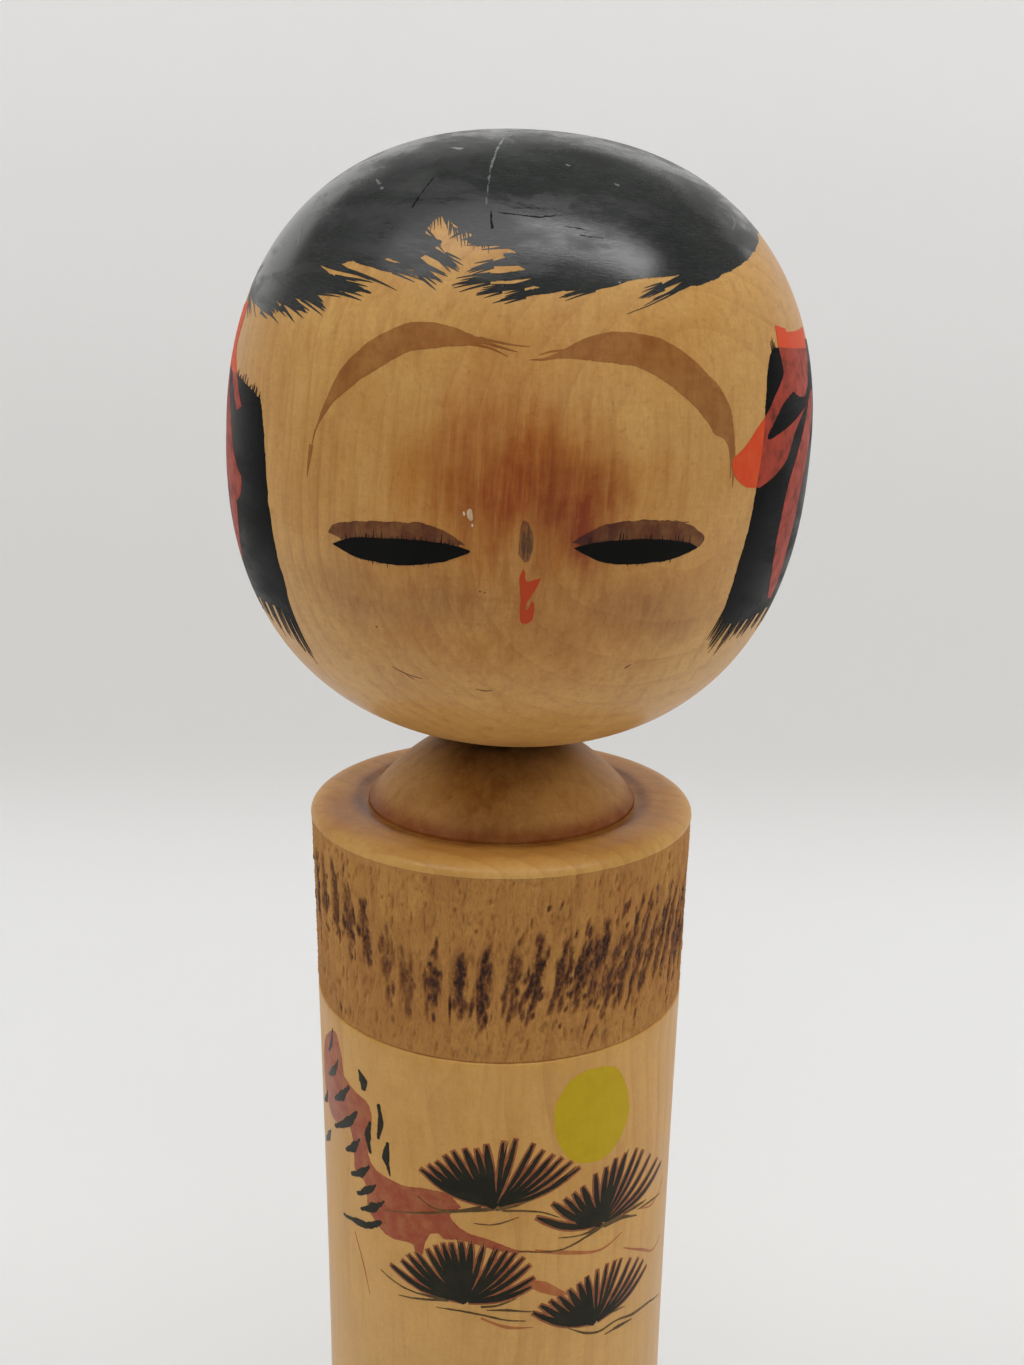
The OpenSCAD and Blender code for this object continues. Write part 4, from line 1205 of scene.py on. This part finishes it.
def pine_fan(name, base, tips, seed, thick_until):
    """A fan of needles from one base: blunt tips, thin roots, and a wider brown wash bleeding out.

    The needles before thick_until are heavy with ink and run together.
    """
    rng = random.Random(seed)
    ink_shapes, edge_shapes = [], []
    middle = np.mean([t[0] for t in tips])
    for k, tip in enumerate(tips):
        span = (tip[0] - base[0], tip[1] - base[1])
        start = (base[0] + 0.04 * span[0] + rng.uniform(-0.25, 0.25), base[1] + 0.03 * span[1])
        aside = tip[0] - middle
        bend = ((start[0] + tip[0]) / 2 + 0.04 * aside, (start[1] + tip[1]) / 2 - 0.02 * abs(aside))
        wide = rng.uniform(0.9, 1.15) * (1.1 if k < thick_until else 0.78)
        profile = [0.3, 0.6, 0.8, 0.95, 0.95, 0.8, 0.3]
        ink_shapes.append(rough(stroke(BARREL, [start, bend, tip], [w * wide for w in profile]), 0.06,
                                seed * 40 + k))
        beyond = (tip[0] + 0.02 * span[0], tip[1] + 0.02 * span[1])
        edge_shapes.append(stroke(BARREL, [start, bend, beyond], [w * wide + 0.6 for w in profile]))
        if rng.random() < 0.5:  # a stray fine hair beside the needle
            stray = (tip[0] + rng.uniform(-1.4, 1.4), tip[1] + rng.uniform(-0.6, 0.6))
            ink_shapes.append(stroke(BARREL, [bend, stray], [0.3, 0.25, 0.08]))
    heart = [(base[0] + 0.42 * (t[0] - base[0]), base[1] + 0.42 * (t[1] - base[1]))
             for t in tips[:thick_until - 1]]
    ink_shapes.append(BARREL.flat(outline([(base[0] - 0.6, base[1] - 0.4), *heart,
                                           (base[0] + 0.6, base[1] + 0.6)])))
    body_paint(name + "_edge", edge_shapes, [bleed_dye], "bark_paint", lift=0.03)
    body_paint(name, ink_shapes, [pine_ink], "pine_paint", lift=0.05, sink=-0.01)


for k, (name, (base, tips)) in enumerate(fans.items()):
    pine_fan(name, base, tips, 500 + k, (8, 9, 10, 7)[k])

# Generic bark: parallel slanting dabs that stand apart, so that nothing reads as lettering.
bark_marks = [
    ([(-45.8, 167.6), (-44, 166), (-43.6, 164.4)], [0.3, 2.0, 0.9]),
    ([(-37.4, 163.4), (-36.6, 160.4), (-37.8, 157.4)], [0.4, 1.2, 0.4]),
    ([(-34, 157.4), (-34.8, 154.6), (-33.4, 151.6)], [0.4, 1.3, 0.3]),
    ([(-41, 159.6), (-42.2, 156.8), (-41.2, 154)], [0.4, 1.5, 0.4]),
    ([(-60.6, 171), (-62.4, 168), (-65, 166)], [0.3, 1.1, 0.3]),
    ([(-57.4, 166.4), (-61, 163.4), (-66, 161.6)], [0.4, 1.5, 0.4]),
    ([(-51, 163.4), (-55.4, 160.6), (-61, 158.6)], [0.4, 1.6, 0.4]),
    ([(-47, 160), (-51, 157.4), (-56, 155.4), (-62, 153.4)], [0.5, 1.6, 1.3, 0.4]),
    ([(-46, 155.4), (-49.6, 153), (-54, 151.4)], [0.4, 1.6, 0.4]),
    ([(-42, 151.6), (-45.6, 149.6), (-51, 147.8)], [0.4, 1.5, 0.4]),
    ([(-39, 149), (-43, 147), (-48, 145.2)], [0.4, 1.4, 0.4]),
    ([(-35.6, 146.8), (-40.4, 144.6), (-46.6, 142.8)], [0.3, 1.4, 0.4]),
    ([(-37, 142.8), (-42, 141), (-49, 139.8), (-57, 138.8)], [0.4, 1.1, 1.1, 0.4]),
    ([(-68, 158), (-70.4, 156), (-74, 154.6)], [0.3, 1.4, 0.4]),
    ([(-66, 151.4), (-69, 149.4), (-73.6, 147.4)], [0.3, 1.5, 0.4]),
]
body_strokes("bark_marks", bark_marks, 0.16, 840, pine_ink, "pine_paint", lift=0.045, sink=-0.005)

# ---------------------------------------------------------------- stage, light and camera


def backdrop():
    """A pale sweep: a floor that curves up into a wall behind the doll."""
    front, bend, radius, height, half = -1.4, 0.30, 0.35, 0.8, 1.2
    line = [(front, 0.0), (bend, 0.0)]
    line += [(bend + radius * math.sin(s), radius * (1 - math.cos(s))) for s in np.linspace(0.1,
                                                                                            math.pi / 2, 16)]
    line.append((bend + radius, height))
    verts = [(x, y, z) for y, z in line for x in (-half, half)]
    faces = [[2 * k, 2 * k + 1, 2 * k + 3, 2 * k + 2] for k in range(len(line) - 1)]
    mesh = bpy.data.meshes.new("backdrop")
    mesh.from_pydata(verts, [], faces)
    mesh.polygons.foreach_set("use_smooth", [True] * len(faces))
    obj = bpy.data.objects.new("backdrop", mesh)
    bpy.context.scene.collection.objects.link(obj)
    n = Nodes("backdrop paper with painted shade")
    where = n.place()
    level = n.add("ShaderNodeSeparateXYZ", {0: where}).outputs[2]
    # Painted shade: the paper darkens from just above the floor up the curve, and pales again up the wall.
    tone = n.mix(n.ramp(level, 5, 60), srgb(243, 243, 242), srgb(223, 222, 220))
    tone = n.mix(n.ramp(level, 90, 420), tone, srgb(241, 240, 239))
    mesh.materials.append(n.finish(tone, 0.9, n.noise(where, 2.0, 3.0), 0.02, specular=0.2))


def softbox(name, where, towards, size, power, colour=(1, 1, 1), shine=True):
    light = bpy.data.lights.new(name, "AREA")
    light.shape = "RECTANGLE"
    light.size, light.size_y = size
    light.energy, light.color = power, colour
    obj = bpy.data.objects.new(name, light)
    bpy.context.scene.collection.objects.link(obj)
    obj.visible_glossy = shine
    direction = Vector(towards) - Vector(where)
    obj.matrix_world = Matrix.Translation(where) @ direction.to_track_quat("-Z", "Y").to_matrix().to_4x4()


backdrop()
softbox("overhead", (0.0, -0.3, 1.25), (0, -0.1, 0.15), (1.7, 0.3), 7.6)
softbox("front_high", (0.1, -1.0, 1.15), (0, 0, 0.2), (1.1, 0.6), 3.3, shine=False)
softbox("back_floor", (0, 0.45, 0.95), (0, 0.4, 0), (1.6, 0.4), 1.6, shine=False)
softbox("left", (-1.0, 0.2, 0.6), (0, 0, 0.2), (0.6, 0.6), 2.0, shine=False)
softbox("right", (1.0, 0.2, 0.6), (0, 0, 0.2), (0.6, 0.6), 2.3, shine=False)

world = bpy.data.worlds.new("studio")
world.use_nodes = True
sky = world.node_tree
height = sky.nodes.new("ShaderNodeSeparateXYZ")
fade = sky.nodes.new("ShaderNodeMapRange")
fade.interpolation_type = "SMOOTHSTEP"
for k, value in ((1, 0.15), (2, 0.6), (3, 0.25), (4, 0.07)):
    fade.inputs[k].default_value = value
sky.links.new(sky.nodes.new("ShaderNodeTexCoord").outputs["Generated"], height.inputs[0])
sky.links.new(height.outputs[2], fade.inputs[0])
sky.links.new(fade.outputs[0], sky.nodes["Background"].inputs[1])
sky.nodes["Background"].inputs[0].default_value = (1.0, 0.99, 0.97, 1)
bpy.context.scene.world = world
bpy.context.scene.view_settings.view_transform = "Standard"


def camera(eye, pitch, roll, lens):
    """A close, hand-held view: pitched down a little and rolled a touch."""
    data = bpy.data.cameras.new("camera")
    data.lens, data.sensor_width, data.sensor_fit = lens, 36, "AUTO"
    data.clip_start = 0.005
    obj = bpy.data.objects.new("camera", data)
    bpy.context.scene.collection.objects.link(obj)
    down = Matrix.Rotation(math.radians(90 - pitch), 4, "X")
    obj.matrix_world = Matrix.Translation(eye) @ down @ Matrix.Rotation(math.radians(roll), 4, "Z")
    bpy.context.scene.camera = obj


camera(eye=(0.0014, -0.2096, 0.2803), pitch=15.28, roll=0.8, lens=36.92)
